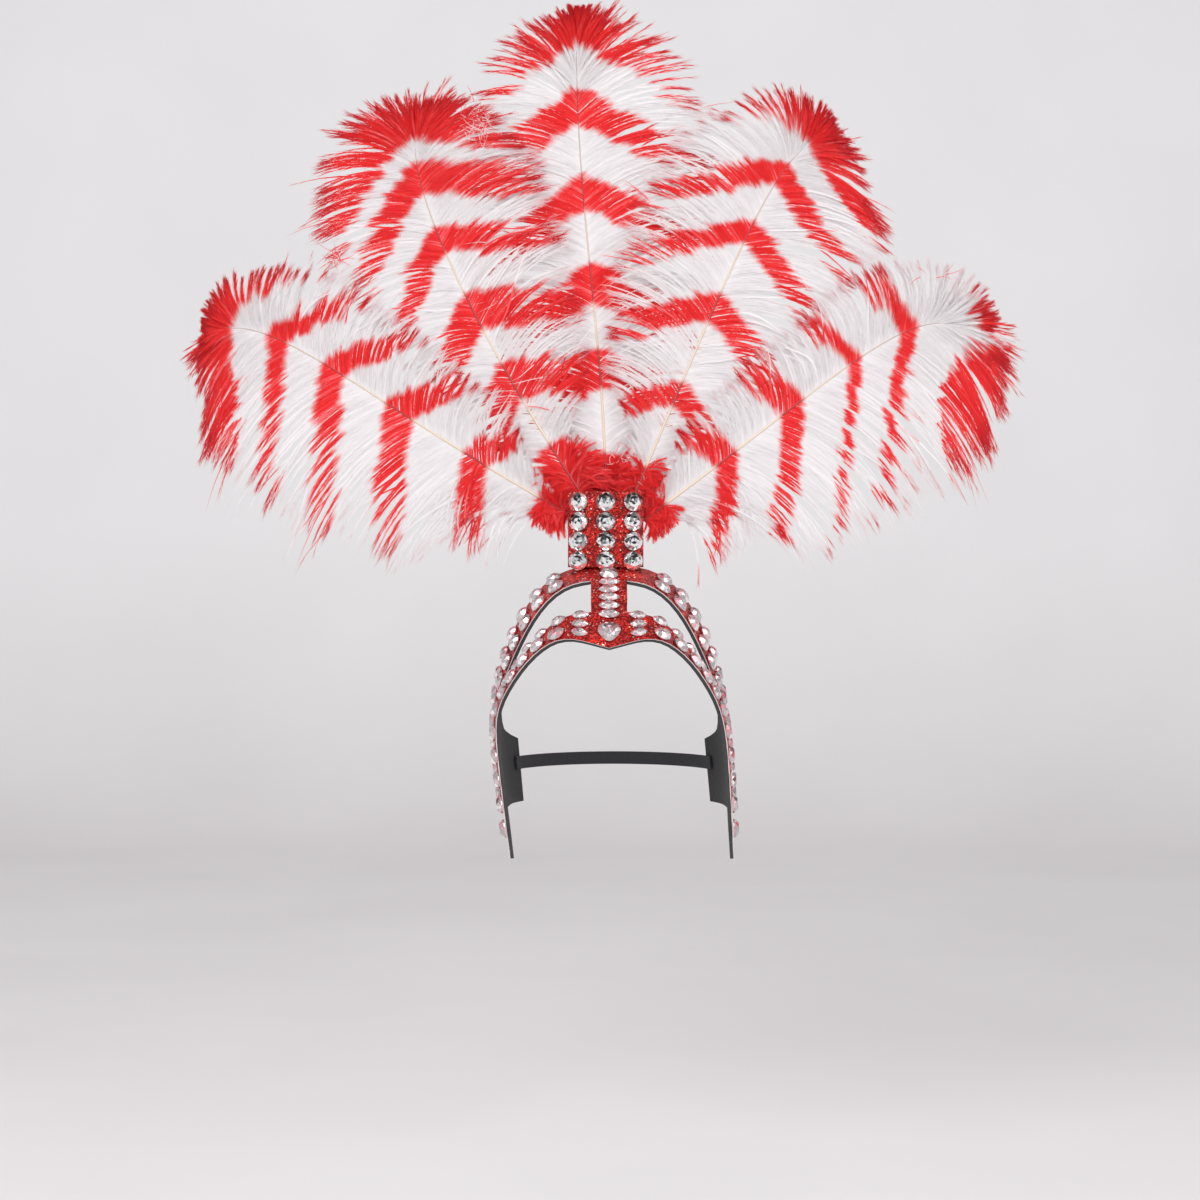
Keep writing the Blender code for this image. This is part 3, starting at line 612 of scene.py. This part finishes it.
def growth_strands(plume, side, growth, random, table):
    """The parts of a plume's mesh for one growth of barbs on one side: the barbs and their hairs."""
    count, low, high = growth["barbs"], growth["from"], growth["to"]
    layer = PLUMES[plume][0]
    share = low + (high - low) * (np.arange(count) + random.uniform(*BARB_JITTER, count)) / count
    share = np.clip(np.sort(share), 0, 1)
    number, middle, place_in = clumps(share, random)
    own = random.normal(0, 1, number[-1] + 1)[number]
    other = random.normal(0, 1, number[-1] + 1)[number]
    pull = random.uniform(*CLUMP_PULL, number[-1] + 1)[number][:, None]
    reach = np.linspace(0, 1, BARB_STEPS + 1)[None].repeat(count, axis=0)
    gather = pull * smooth_step(CLUMP_FROM, 1.0, reach)
    moved = share[:, None] + (middle - share)[:, None] * gather
    turn = ((TURN_MIX[0] * own + TURN_MIX[1] * random.normal(0, 1, count)) * growth["turn"])[:, None]
    splay = (growth["splay"] * random.uniform(0, 1, count))[:, None]
    turn = turn * smooth_step(0.0, TURN_FULL, reach + TURN_LEAD) + splay
    longer = 1 - CLUMP_ROUNDING * np.abs(place_in) ** CLUMP_ROUND_POWER
    longer += growth["uneven"] * (LENGTH_MIX[0] * other + LENGTH_MIX[1] * random.normal(0, 1, count))
    trim = np.interp(share, TRIM_STATIONS, TIP_TRIM[plume][0 if side > 0 else 1])
    longer = np.clip(longer, *LENGTH_LIMITS) * growth["length"] * trim
    grown = barb_lengths(plume, side, moved)
    if growth["name"] == "down":
        grown = DOWN_LENGTH[plume]
    elif growth["name"] == "skirt":
        grown = SKIRTS[plume][1]
    length = grown * longer[:, None]
    droop = BARB_DROOP * (1 + random.normal(0, DROOP_MIX[1], count) + DROOP_MIX[0] * own)[:, None]
    flat = barb_paths(plume, side, moved, reach, turn, length, droop)
    depth = (growth["depth"] * (random.normal(0, 1, count) + other))[:, None]
    path = place(flat, layer, depth * reach - TIP_FORWARDS * reach ** 2)
    shade = np.repeat(random.uniform(0, 1, count)[:, None], BARB_STEPS + 1, axis=1)
    ragged = (own * RAGGED_MIX[0] + random.normal(0, RAGGED_MIX[1], count))[:, None]
    ragged = ragged * (RAGGED_GROWTH[0] + RAGGED_GROWTH[1] * reach)
    stripe = stripe_values(plume, table, flat) + ragged / table[1][-1]
    stripe = np.where((random.uniform(0, 1, count) < growth["red"])[:, None], 0.0, stripe)
    aside = FACING_OUT * side + random.uniform(-FACING_SPREAD, FACING_SPREAD, count)
    facing = facings(path, aside, random.uniform(-FACING_TILT, FACING_TILT, count))
    widths = BARB_WIDTH * (1 - BARB_TAPER * smooth_step(BARB_TAPER_FROM, 1.0, reach))
    dark = growth["dark"]
    values = {"stripe": stripe, "shade": shade, "end": dark * smooth_step(*BARB_END, reach)}
    return [(*ribbon_mesh(path, widths, facing, values), 0),
            (*hair_strands(random, growth["hairs"], path, stripe, shade, dark), 0)]


def fray_strands(plume, random):
    """Curled, tangled barbs that stand in front of a plume's vane, red or white."""
    layer = PLUMES[plume][0]
    parts = []
    for x, z, spread_x, spread_z, count, red in FRAYS[plume]:
        start_x = random.normal(x, spread_x / 2, count)
        start_z = random.normal(z, spread_z / 2, count)
        start = np.stack([start_x, start_z], axis=1)
        reach = np.linspace(0, 1, FRAY_STEPS + 1)[None].repeat(count, axis=0)
        first = random.uniform(0, 360, count)[:, None]
        angle = first + random.normal(0, FRAY_CURL, count)[:, None] * reach ** FRAY_CURL_POWER
        length = random.uniform(*FRAY_LENGTH, count)[:, None]
        steps = direction(angle) * (length / FRAY_STEPS)[..., None]
        flat = start[:, None] + np.cumsum(steps, axis=1) - steps
        path = place(flat, layer, -FRAY_LIFT - random.uniform(0, FRAY_DEPTH, count)[:, None] * reach)
        facing = facings(path, random.uniform(-STRAND_SPREAD, STRAND_SPREAD, count))
        dyed = np.where(random.uniform(0, 1, count) < red, 0.0, np.mean(BAND_EDGES[plume][:2]))
        shade = random.uniform(*FRAY_SHADE, count)[:, None].repeat(FRAY_STEPS + 1, axis=1)
        values = {"stripe": dyed[:, None].repeat(FRAY_STEPS + 1, axis=1), "shade": shade,
                  "end": smooth_step(*FRAY_END, reach)}
        parts.append((*ribbon_mesh(path, FRAY_WIDTH * (1 - FRAY_TAPER * reach), facing, values), 0))
    return parts


def plume_strands(plume, random):
    """The parts of a plume's mesh that are barbs and their fine hairs."""
    table = quill_table(plume)
    parts = []
    for side in (1, -1):
        for growth in GROWTHS:
            if growth["name"] == "skirt" and SKIRTS.get(plume, (0,))[0] != side:
                continue
            parts += growth_strands(plume, side, growth, random, table)
    return parts + fray_strands(plume, random)


def hair_strands(random, hairs, barbs, stripe, shade, dark):
    """Fine hairs that run along each barb and part from it a little, to just past its tip."""
    count, points, _ = barbs.shape
    steps = points - 1
    total = count * hairs
    owner = np.repeat(np.arange(count), hairs)
    start = random.uniform(0.0, HAIR_LAST_START, total)
    whole = np.linalg.norm(np.diff(barbs, axis=1), axis=2).sum(axis=1)[owner]
    length = random.uniform(*HAIR_LENGTH, total) * (HAIR_SHORTENING[0] - HAIR_SHORTENING[1] * start)
    length = np.minimum(length, (HAIR_PAST_TIP - start) * whole)
    t = np.array([0.0, 0.5, 1.0])
    where = (start[:, None] + (length / whole)[:, None] * t) * steps
    low = np.clip(where.astype(int), 0, steps - 1)
    part = where - low
    first, second = barbs[owner[:, None], low], barbs[owner[:, None], low + 1]
    path = first + (second - first) * part[..., None]
    along = second - first
    along /= np.linalg.norm(along, axis=2, keepdims=True)
    across = np.cross(along, np.array([0.0, 1.0, 0.0]))
    lean = random.uniform(*HAIR_LEAN, total)
    lean = np.tan(np.radians(lean * np.where(random.uniform(0, 1, total) < 0.5, 1, -1)))
    path += across * (lean * length)[:, None, None] * (t ** HAIR_CURVE)[None, :, None]
    path[..., 1] += (random.normal(0, HAIR_DEPTH_LEAN, total) * length)[:, None] * t
    near = stripe[owner[:, None], low]
    hair_stripe = near + (stripe[owner[:, None], low + 1] - near) * part
    hair_shade = shade[owner, 0] * HAIR_SHADE_MIX[0] + random.uniform(0, HAIR_SHADE_MIX[1], total)
    hair_shade = hair_shade[:, None].repeat(len(t), axis=1)
    facing = facings(path, random.uniform(-STRAND_SPREAD, STRAND_SPREAD, total))
    widths = HAIR_WIDTH * (1 - HAIR_TAPER * t)[None].repeat(total, axis=0)
    end = dark * smooth_step(*HAIR_END, start[:, None] + (length / whole)[:, None] * t)
    values = {"stripe": hair_stripe, "shade": hair_shade, "end": end}
    return ribbon_mesh(path, widths, facing, values)


def quill_part(plume):
    """The quill as a tapered tube, from inside its socket to its tip."""
    layer = PLUMES[plume][0]
    shares, lengths = quill_table(plume)
    samples = np.linspace(0, 1, QUILL_STEPS)
    flat, angle = quill_points(plume, samples)
    foot = flat[0] - direction(angle[0]) * QUILL_IN_BORE
    flat = np.concatenate([foot[None], flat])
    path = place(flat, layer, np.zeros(len(flat)))
    path[0, 1] = path[1, 1]
    reach = np.concatenate([[0], samples])
    radii = QUILL_RADIUS[0] + (QUILL_RADIUS[1] - QUILL_RADIUS[0]) * reach
    points, quads = tube_mesh(path, radii, QUILL_SIDES)
    stripe = np.repeat(np.interp(reach, shares, lengths) / lengths[-1], QUILL_SIDES)
    values = {"stripe": stripe, "shade": np.full(len(stripe), 0.5), "end": np.repeat(reach, QUILL_SIDES)}
    return points, quads, None, values, 1


def band_stops(plume):
    """Ramp stops for a plume's bands: white in the red bands and black in the white ones."""
    total = quill_table(plume)[1][-1]
    soft = BAND_SOFTNESS / total / 2 * STRIPE_SCALE
    stops, before, after = [], (1, 1, 1), (0, 0, 0)
    for edge in BAND_EDGES[plume]:
        middle = edge * STRIPE_SCALE
        stops += [(middle - soft, before), (middle + soft, after)]
        before, after = after, before
    return stops


def plume_material(plume):
    """Dyed ostrich: red and white bands with uneven edges, thin and a little translucent."""
    made, tree, shader = new_material(f"{plume}_barbs", Roughness=0.65, Specular_IOR_Level=0.25)
    noise = over_object(tree, "ShaderNodeTexNoise", Scale=BAND_NOISE, Detail=2.0)
    uneven = maths(tree, "SUBTRACT", noise.outputs["Fac"], 0.5)
    wander = maths(tree, "MULTIPLY", uneven, BAND_WANDER)
    stripe = maths(tree, "ADD", attribute(tree, "stripe"), wander)
    dye = ramp(tree, maths(tree, "MULTIPLY", stripe, STRIPE_SCALE), band_stops(plume))
    red = ramp(tree, attribute(tree, "shade"), (
        (0.0, (0.82, 0.024, 0.027)), (0.75, (0.90, 0.056, 0.060)), (1.0, (0.91, 0.24, 0.25))))
    red = mix_colour(tree, attribute(tree, "end"), red, (0.55, 0.018, 0.030))
    white = mix_colour(tree, attribute(tree, "shade"), (0.82, 0.80, 0.805), (0.90, 0.87, 0.875))
    pinkish = ramp(tree, attribute(tree, "shade"), (
        (0.55, (0.76, 0.70, 0.71)), (1.0, (0.74, 0.34, 0.38))))
    white = mix_colour(tree, attribute(tree, "end"), white, pinkish)
    colour = mix_colour(tree, dye, white, red)
    link(tree, colour, shader.inputs["Base Color"])
    through = tree.nodes.new("ShaderNodeBsdfTranslucent")
    link(tree, colour, through.inputs["Color"])
    blend = node(tree, "ShaderNodeMixShader", Fac=0.46)
    link(tree, shader.outputs["BSDF"], blend.inputs[1])
    link(tree, through.outputs["BSDF"], blend.inputs[2])
    link(tree, blend.outputs["Shader"], tree.nodes["Material Output"].inputs["Surface"])
    return made


def quill_material(plume):
    """Horn-coloured quill, greyer to its tip and stained red where it passes a red band."""
    made, tree, shader = new_material(f"{plume}_quill", Roughness=0.38)
    stripe = maths(tree, "MULTIPLY", attribute(tree, "stripe"), STRIPE_SCALE)
    dye = ramp(tree, stripe, band_stops(plume))
    horn = ramp(tree, attribute(tree, "end"), ((0.35, (0.66, 0.54, 0.42)), (0.85, (0.42, 0.34, 0.32))))
    link(tree, mix_colour(tree, dye, horn, (0.40, 0.03, 0.03)), shader.inputs["Base Color"])
    return made


def build_plume(name, seed):
    """One plume in place of its CAD solid."""
    random = np.random.default_rng(seed)
    parts = plume_strands(name, random)
    parts.append(quill_part(name))
    mesh = mesh_from_parts(f"{name}_feather", parts)
    made = add_object(f"{name}_feather", mesh)
    mesh.materials.append(plume_material(name))
    mesh.materials.append(quill_material(name))
    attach(made, "root")
    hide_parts(name)


# Stones

def flat_faces(mesh):
    """Groups of touching coplanar faces, as (area, normal, corners, number of faces), largest first."""
    work = bmesh.new()
    work.from_mesh(mesh)
    bmesh.ops.remove_doubles(work, verts=work.verts, dist=WELD)
    work.faces.ensure_lookup_table()
    seen, groups = set(), []
    for face in work.faces:
        if face.index in seen:
            continue
        seen.add(face.index)
        group, queue = [], [face]
        while queue:
            here = queue.pop()
            group.append(here)
            for edge in here.edges:
                for other in edge.link_faces:
                    if other.index not in seen and other.normal.dot(face.normal) > FLAT:
                        seen.add(other.index)
                        queue.append(other)
        corners = {v.index: v.co.copy() for f in group for v in f.verts}
        area = sum(f.calc_area() for f in group)
        groups.append((area, face.normal.copy(), list(corners.values()), len(group)))
    work.free()
    return sorted(groups, key=lambda g: -g[0])


def stone_places(name, sides, height, down):
    """Frames and sizes of the stones in a CAD node, found from their flat tables: (matrix, length, width).

    The long axis is the longest of the table, or the way down along it if down is given.
    """
    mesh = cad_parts[name].data
    flats = [g for g in flat_faces(mesh) if g[3] >= sides - 2 and len(g[2]) == sides]
    largest = flats[0][0]
    places = []
    for area, normal, corners, _ in flats:
        if area > TABLE_LIMIT * largest:
            continue
        middle = sum(corners, Vector()) / len(corners)
        spread = np.array([c - middle for c in corners])
        _, _, axes = np.linalg.svd(spread)
        long_axis = Vector(axes[0])
        if down is not None:
            long_axis = (down - normal * down.dot(normal)).normalized()
        wide_axis = normal.cross(long_axis)
        length = 2 * max(abs((c - middle).dot(long_axis)) for c in corners) / TABLE_SHARE
        width = 2 * max(abs((c - middle).dot(wide_axis)) for c in corners) / TABLE_SHARE
        turned = Matrix((long_axis, wide_axis, normal)).transposed().to_4x4()
        turned.translation = middle - normal * height
        places.append((turned, length, width))
    return places


def cut_stone(points, faces, painted_reflections, matrix, size, sides, outline, random):
    """Adds one cut stone: girdle, main facets, stars and a table with the foil's facets seen through it.

    Each facet's reflection is painted into its colour: facets that lean down throw back the pale room and
    are painted bright, and those that lean up or stand in the middle are painted darker.
    """
    length, width, height = size

    def ring(share, level, turn, fold):
        first, count = len(points), fold * sides
        for k in range(count):
            along, across = outline(2 * np.pi * (k + turn) / count)
            corner = (along * share * length / 2, across * share * width / 2, level * height)
            points.append(matrix @ Vector(corner))
        return [first + k for k in range(count)]

    def facet(corners, painted_reflection):
        faces.append(corners)
        painted_reflections.append(painted_reflection)

    def reflection_near(middle, loss, spread):
        return np.clip(middle - loss * up + random.normal(0, spread), 0, 1)

    base, foot, girdle, mains, table, inner = [ring(*row) for row in STONE_RINGS]
    centre = len(points)
    points.append(matrix @ Vector((0, 0, height)))
    facet(list(reversed(base)), BASE_TONE)
    for k in range(2 * sides):
        n = (k + 1) % (2 * sides)
        facet([base[k], base[n], foot[n], foot[k]], FOOT_TONE)
        facet([foot[k], foot[n], girdle[n], girdle[k]], GIRDLE_TONE)
    for k in range(sides):
        n = (k + 1) % sides
        left, between, right = 2 * k, 2 * k + 1, 2 * n
        along, across = outline(2 * np.pi * (k + 0.5) / sides)
        # Painted reflection: a facet that looks up throws back less of the pale room and is painted darker
        up = (matrix.to_3x3() @ Vector((along, across, 0)))[2]
        rim, kite, deep = [reflection_near(*painted_reflection) for painted_reflection in (RIM_TONE, KITE_TONE, DEEP_TONE)]
        facet([girdle[left], girdle[between], mains[k]], rim)
        facet([girdle[between], girdle[right], mains[k]], reflection_near(rim, 0, RIM_SPREAD))
        facet([girdle[right], mains[n], table[n], mains[k]], kite)
        facet([mains[k], table[n], table[k]], reflection_near(kite, 0, STAR_SPREAD))
        facet([table[k], table[n], inner[k]], deep)
        facet([table[n], inner[n], inner[k]], reflection_near(deep, 0, DEEP_SPREAD))
        facet([inner[k], inner[n], centre], reflection_near(*CENTRE_TONE))


def round_outline(angle):
    """A circle, or an oval once it is stretched."""
    return np.cos(angle), np.sin(angle)


def navette_outline(angle):
    """A slim form with a point at either end."""
    across = np.sin(angle)
    return np.cos(angle), across * abs(across) ** NAVETTE_POWER


def shield_outline(angle):
    """A shield, its point along +X."""
    along, across = np.cos(angle), np.sin(angle)
    if along > 0:
        return along, across * SHIELD_WIDTH * (1 - SHIELD_NARROWING * along)
    return along * SHIELD_TOP, np.sign(across) * SHIELD_WIDTH * abs(across) ** SHIELD_SHOULDERS


def crystal_material(name, stops, roughness):
    """Foiled cut glass: each facet's light or dark is painted into its colour as a painted reflection, under
    a clear gloss.
    """
    made, tree, shader = new_material(name, Metallic=0.85, Roughness=roughness, Coat_Weight=0.6,
                                      Coat_Roughness=0.02)
    link(tree, ramp(tree, attribute(tree, "painted_reflection"), stops, "CONSTANT"), shader.inputs["Base Color"])
    return made


def row_stone(length, width):
    """The size and outline of a row's stone, from the length and width measured on its eight-sided table."""
    corner = np.cos(np.pi / ROW_TABLE)
    if length / corner > OVAL_LENGTH:
        return OVAL, round_outline
    if width / corner > SMALL_OVAL_WIDTH:
        return SMALL_OVAL, round_outline
    return SMALL_NAVETTE, navette_outline


def build_stones(name, nodes, sides, cad_sides, size, outline, finish, seed, down=None):
    """Detailed stones in place of the stones of some CAD nodes."""
    random = np.random.default_rng(seed)
    points, faces, painted_reflections = [], [], []
    for cad_node in nodes:
        for matrix, length, width in stone_places(cad_node, cad_sides, size[2], down):
            real, shape = size, outline
            if name == "row_stones":
                real, shape = row_stone(length, width)
            cut_stone(points, faces, painted_reflections, matrix, real, sides, shape, random)
    mesh = bpy.data.meshes.new(name)
    mesh.from_pydata([tuple(p) for p in points], [], faces)
    # Each face keeps its painted reflection, which the stones' material turns into colour
    painted_reflection = mesh.attributes.new("painted_reflection", "FLOAT", "FACE")
    painted_reflection.data.foreach_set("value", np.array(painted_reflections, dtype=np.float32))
    mesh.materials.append(finish)
    made = add_object(name, mesh)
    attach(made, "root")
    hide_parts(*nodes)


def build_all_stones():
    """Plate rounds in silver foil, and the clear stones of the crown, with painted reflections of the pale
    room and of the red cloth in them.
    """
    # Painted reflections, one colour to a facet: the foil's from black up to white glints, and the clear
    # stones' from the pale room and the red cloth
    foil_reflection_stops = (
        (0.0, (0.015, 0.015, 0.017)), (0.14, (0.10, 0.10, 0.105)), (0.27, (0.34, 0.34, 0.345)),
        (0.42, (0.68, 0.68, 0.69)), (0.56, (1.0, 1.0, 1.0)))
    clear_reflection_stops = (
        (0.0, (0.22, 0.12, 0.12)), (0.10, (0.64, 0.17, 0.19)), (0.22, (0.36, 0.33, 0.33)),
        (0.34, (0.80, 0.40, 0.44)), (0.48, (0.46, 0.43, 0.44)), (0.64, (0.64, 0.57, 0.58)),
        (0.86, (0.97, 0.93, 0.93)))
    foil = crystal_material("foiled_crystal_cut", foil_reflection_stops, 0.12)
    clear = crystal_material("clear_crystal_cut", clear_reflection_stops, 0.22)
    rounds = [f"plate_round_{c}{r}" for c in (1, 2, 3) for r in (1, 2, 3, 4)]
    navettes = [f"strip_navette_{k}" for k in range(1, 6)]
    row_places = ("brow_low", "brow_mid", "brow_high", "arch_front", "arch_rear")
    rows = [f"{row}_stones_{side}" for row in row_places for side in ("left", "right")]
    build_stones("plate_crystals", rounds, CUT_SIDES, ROUND_TABLE, ROUND, round_outline,
                 foil, STONE_SEED)
    build_stones("arch_crystal", ["arch_round"], CUT_SIDES, ROUND_TABLE, ROUND, round_outline,
                 clear, STONE_SEED + 1)
    build_stones("brow_crystal", ["brow_pear"], PEAR_SIDES, ROUND_TABLE, PEAR, shield_outline,
                 clear, STONE_SEED + 2, down=Vector(PEAR_DOWN))
    build_stones("strip_crystals", navettes, CUT_SIDES, ROW_TABLE, NAVETTE, navette_outline,
                 clear, STONE_SEED + 3)
    build_stones("row_stones", rows, CUT_SIDES, ROW_TABLE, OVAL, round_outline,
                 clear, STONE_SEED + 4)


# Crown, plate, sleeve and strap

def smooth_copy(cad_node, name, materials, thin=None):
    """A smooth-shaded copy of a CAD node in its place.

    Faces round its rim, with an edge as short as thin, take the second material.
    """
    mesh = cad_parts[cad_node].data.copy()
    mesh.name = name
    mesh.materials.clear()
    for finish in materials:
        mesh.materials.append(finish)
    work = bmesh.new()
    work.from_mesh(mesh)
    bmesh.ops.remove_doubles(work, verts=work.verts, dist=WELD)
    for face in work.faces:
        face.smooth = True
        shortest = min(edge.calc_length() for edge in face.edges)
        face.material_index = 1 if thin and shortest < thin else 0
    for edge in work.edges:
        if len(edge.link_faces) == 2 and edge.calc_face_angle(0) > CREASE:
            edge.smooth = False
    work.to_mesh(mesh)
    work.free()
    made = add_object(name, mesh)
    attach(made, "root")
    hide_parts(cad_node)


def glitter_material():
    """Red glitter cloth: flakes that each face their own way, each painted with its own light or shade, from
    dark red up to white painted glints.
    """
    made, tree, shader = new_material("red_glitter_cloth", Metallic=0.55)
    flakes = over_object(tree, "ShaderNodeTexVoronoi", Scale=1150.0)
    tint = tree.nodes.new("ShaderNodeSeparateColor")
    link(tree, flakes.outputs["Color"], tint.inputs["Color"])
    # Painted light and shade of each flake: dark red for flakes in shade, up to pink and white painted
    # glints
    colour = ramp(tree, tint.outputs["Red"], (
        (0.0, (0.14, 0.003, 0.003)), (0.30, (0.40, 0.009, 0.008)), (0.58, (0.72, 0.018, 0.014)),
        (0.84, (0.95, 0.06, 0.035)), (0.965, (1.0, 0.42, 0.34)), (0.988, (1.0, 0.92, 0.88))), "CONSTANT")
    # Painted glint and shade in patches over the flakes: darker in some, and in others brighter than the
    # cloth itself could be
    patches = over_object(tree, "ShaderNodeTexNoise", Scale=85.0, Detail=3.0)
    painted_glint_patches = ramp(tree, patches.outputs["Fac"], (
        (0.38, (0.62, 0.60, 0.60)), (0.57, (0.92, 0.90, 0.90)), (0.68, (1.5, 1.8, 1.5))))
    link(tree, mix_colour(tree, 1.0, colour, painted_glint_patches, "MULTIPLY"), shader.inputs["Base Color"])
    rough = ramp(tree, tint.outputs["Green"], ((0.0, (0.22,) * 3), (1.0, (0.55,) * 3)))
    link(tree, rough, shader.inputs["Roughness"])
    add_bump(tree, shader, tint.outputs["Blue"], 0.9, 0.0006)
    return made


def cut_edge_material():
    """The pale backing that shows where the glitter cloth is cut."""
    made, tree, shader = new_material("cloth_cut_edge", Roughness=0.8)
    grain = node(tree, "ShaderNodeTexNoise", Scale=900.0)
    pale = ramp(tree, grain.outputs["Fac"], ((0.4, (0.46, 0.36, 0.36)), (0.6, (0.74, 0.68, 0.68))))
    link(tree, pale, shader.inputs["Base Color"])
    return made


def foam_material(name, dark, light, scale):
    """Matt foam with fine closed cells."""
    made, tree, shader = new_material(name, Roughness=0.82)
    cells = over_object(tree, "ShaderNodeTexNoise", Scale=scale, Detail=5.0, Roughness=0.7)
    link(tree, ramp(tree, cells.outputs["Fac"], ((0.35, dark), (0.7, light))), shader.inputs["Base Color"])
    add_bump(tree, shader, cells.outputs["Fac"], 0.35, 0.0003)
    return made


def woven_material(name, dark, light, ribs):
    """Ribbed elastic or cloth tape."""
    made, tree, shader = new_material(name, Roughness=0.9)
    rib = over_object(tree, "ShaderNodeTexWave", Scale=ribs, Distortion=0.6, Detail=2.0)
    rib.bands_direction = "Z"
    link(tree, ramp(tree, rib.outputs["Fac"], ((0.2, dark), (0.8, light))), shader.inputs["Base Color"])
    add_bump(tree, shader, rib.outputs["Fac"], 0.5, 0.0004)
    return made


def build_crown():
    """Foam frame and cover, plate, sleeve and strap."""
    glitter, cut = glitter_material(), cut_edge_material()
    foam = foam_material("black_foam_face", (0.012, 0.012, 0.013), (0.035, 0.035, 0.037), 700.0)
    foam_cut = foam_material("black_foam_cut", (0.020, 0.020, 0.021), (0.060, 0.060, 0.062), 1400.0)
    weave = woven_material("sleeve_weave", (0.20, 0.008, 0.008), (0.42, 0.02, 0.02), 900.0)
    elastic = woven_material("elastic_ribs", (0.012, 0.012, 0.013), (0.05, 0.05, 0.055), 700.0)
    smooth_copy("crown_frame", "crown_foam", (foam, foam_cut), thin=FOAM_RIM)
    smooth_copy("crown_cover", "crown_glitter", (glitter, cut), thin=CLOTH_RIM)
    smooth_copy("plate_foam", "plate_backing", (foam, foam_cut), thin=FOAM_RIM)
    smooth_copy("plate_cover", "plate_glitter", (glitter, cut), thin=CLOTH_RIM)
    smooth_copy("quill_sleeve", "sleeve_cloth", (weave,))
    smooth_copy("back_strap", "strap_elastic", (elastic,))


# Room, light and camera

def build_room():
    """A pale floor that sweeps up into a pale wall, which is painted brighter as painted light where the
    lamps in front leave it dark.
    """
    profile = [(-ROOM_HALF, FLOOR_Z), (WALL_Y - SWEEP_RADIUS, FLOOR_Z)]
    for step in range(1, SWEEP_STEPS + 1):
        angle = radians(90) * step / SWEEP_STEPS
        profile.append((WALL_Y - SWEEP_RADIUS + SWEEP_RADIUS * np.sin(angle),
                        FLOOR_Z + SWEEP_RADIUS * (1 - np.cos(angle))))
    profile.append((WALL_Y, ROOM_HALF))
    points = [(x, y, z) for y, z in profile for x in (-ROOM_HALF, ROOM_HALF)]
    faces = [(2 * k, 2 * k + 1, 2 * k + 3, 2 * k + 2) for k in range(len(profile) - 1)]
    mesh = bpy.data.meshes.new("room")
    mesh.from_pydata(points, [], faces)
    for face in mesh.polygons:
        face.use_smooth = True
    made, tree, shader = new_material("pale_paint", Roughness=0.95)
    grain = over_object(tree, "ShaderNodeTexNoise", Scale=3.0, Detail=2.0)
    # Painted light: the wall is painted brighter than the floor, and the paint brightens up over the sweep,
    # where the lamps in front leave the wall darker
    floor = ramp(tree, grain.outputs["Fac"], ((0.3, (0.71, 0.685, 0.682)), (0.7, (0.74, 0.715, 0.712))))
    wall = ramp(tree, grain.outputs["Fac"], ((0.3, (0.86, 0.850, 0.850)), (0.7, (0.89, 0.880, 0.880))))
    axes = over_object(tree, "ShaderNodeSeparateXYZ")
    above = maths(tree, "DIVIDE", maths(tree, "SUBTRACT", axes.outputs["Z"], FLOOR_Z), SWEEP_RADIUS)
    painted_light_rise = ramp(tree, above, ((0.0, (0, 0, 0)), (1.0, (1, 1, 1))))
    link(tree, mix_colour(tree, painted_light_rise, floor, wall), shader.inputs["Base Color"])
    mesh.materials.append(made)
    add_object("room", mesh)


def area_light(name, place_at, size, power):
    """A soft box that looks at the headdress."""
    data = bpy.data.lights.new(name, "AREA")
    data.shape = "RECTANGLE"
    data.size, data.size_y = size
    data.energy = power
    made = add_object(name, data)
    made.location = place_at
    made.rotation_euler = (Vector(LIGHT_TARGET) - Vector(place_at)).to_track_quat("-Z", "Y").to_euler()


def build_lights():
    """Two large soft boxes in front, and an even pale surround."""
    for light in LIGHTS:
        area_light(*light)
    world = bpy.data.worlds.new("surround")
    world.use_nodes = True
    world.node_tree.nodes["Background"].inputs["Color"].default_value = (*SURROUND_COLOUR, 1)
    world.node_tree.nodes["Background"].inputs["Strength"].default_value = SURROUND_STRENGTH
    bpy.context.scene.world = world
    bpy.context.scene.view_settings.view_transform = "Standard"


def build_camera():
    """The camera, level and looking along +Y."""
    data = bpy.data.cameras.new("camera")
    data.lens = CAMERA_LENS
    data.sensor_width = CAMERA_SENSOR
    made = add_object("camera", data)
    made.location = CAMERA_PLACE
    made.rotation_euler = (radians(90), 0, 0)
    bpy.context.scene.camera = made


build_camera()
build_room()
build_lights()
build_crown()
build_all_stones()
for number, plume_name in enumerate(PLUMES):
    build_plume(plume_name, SEED + number)
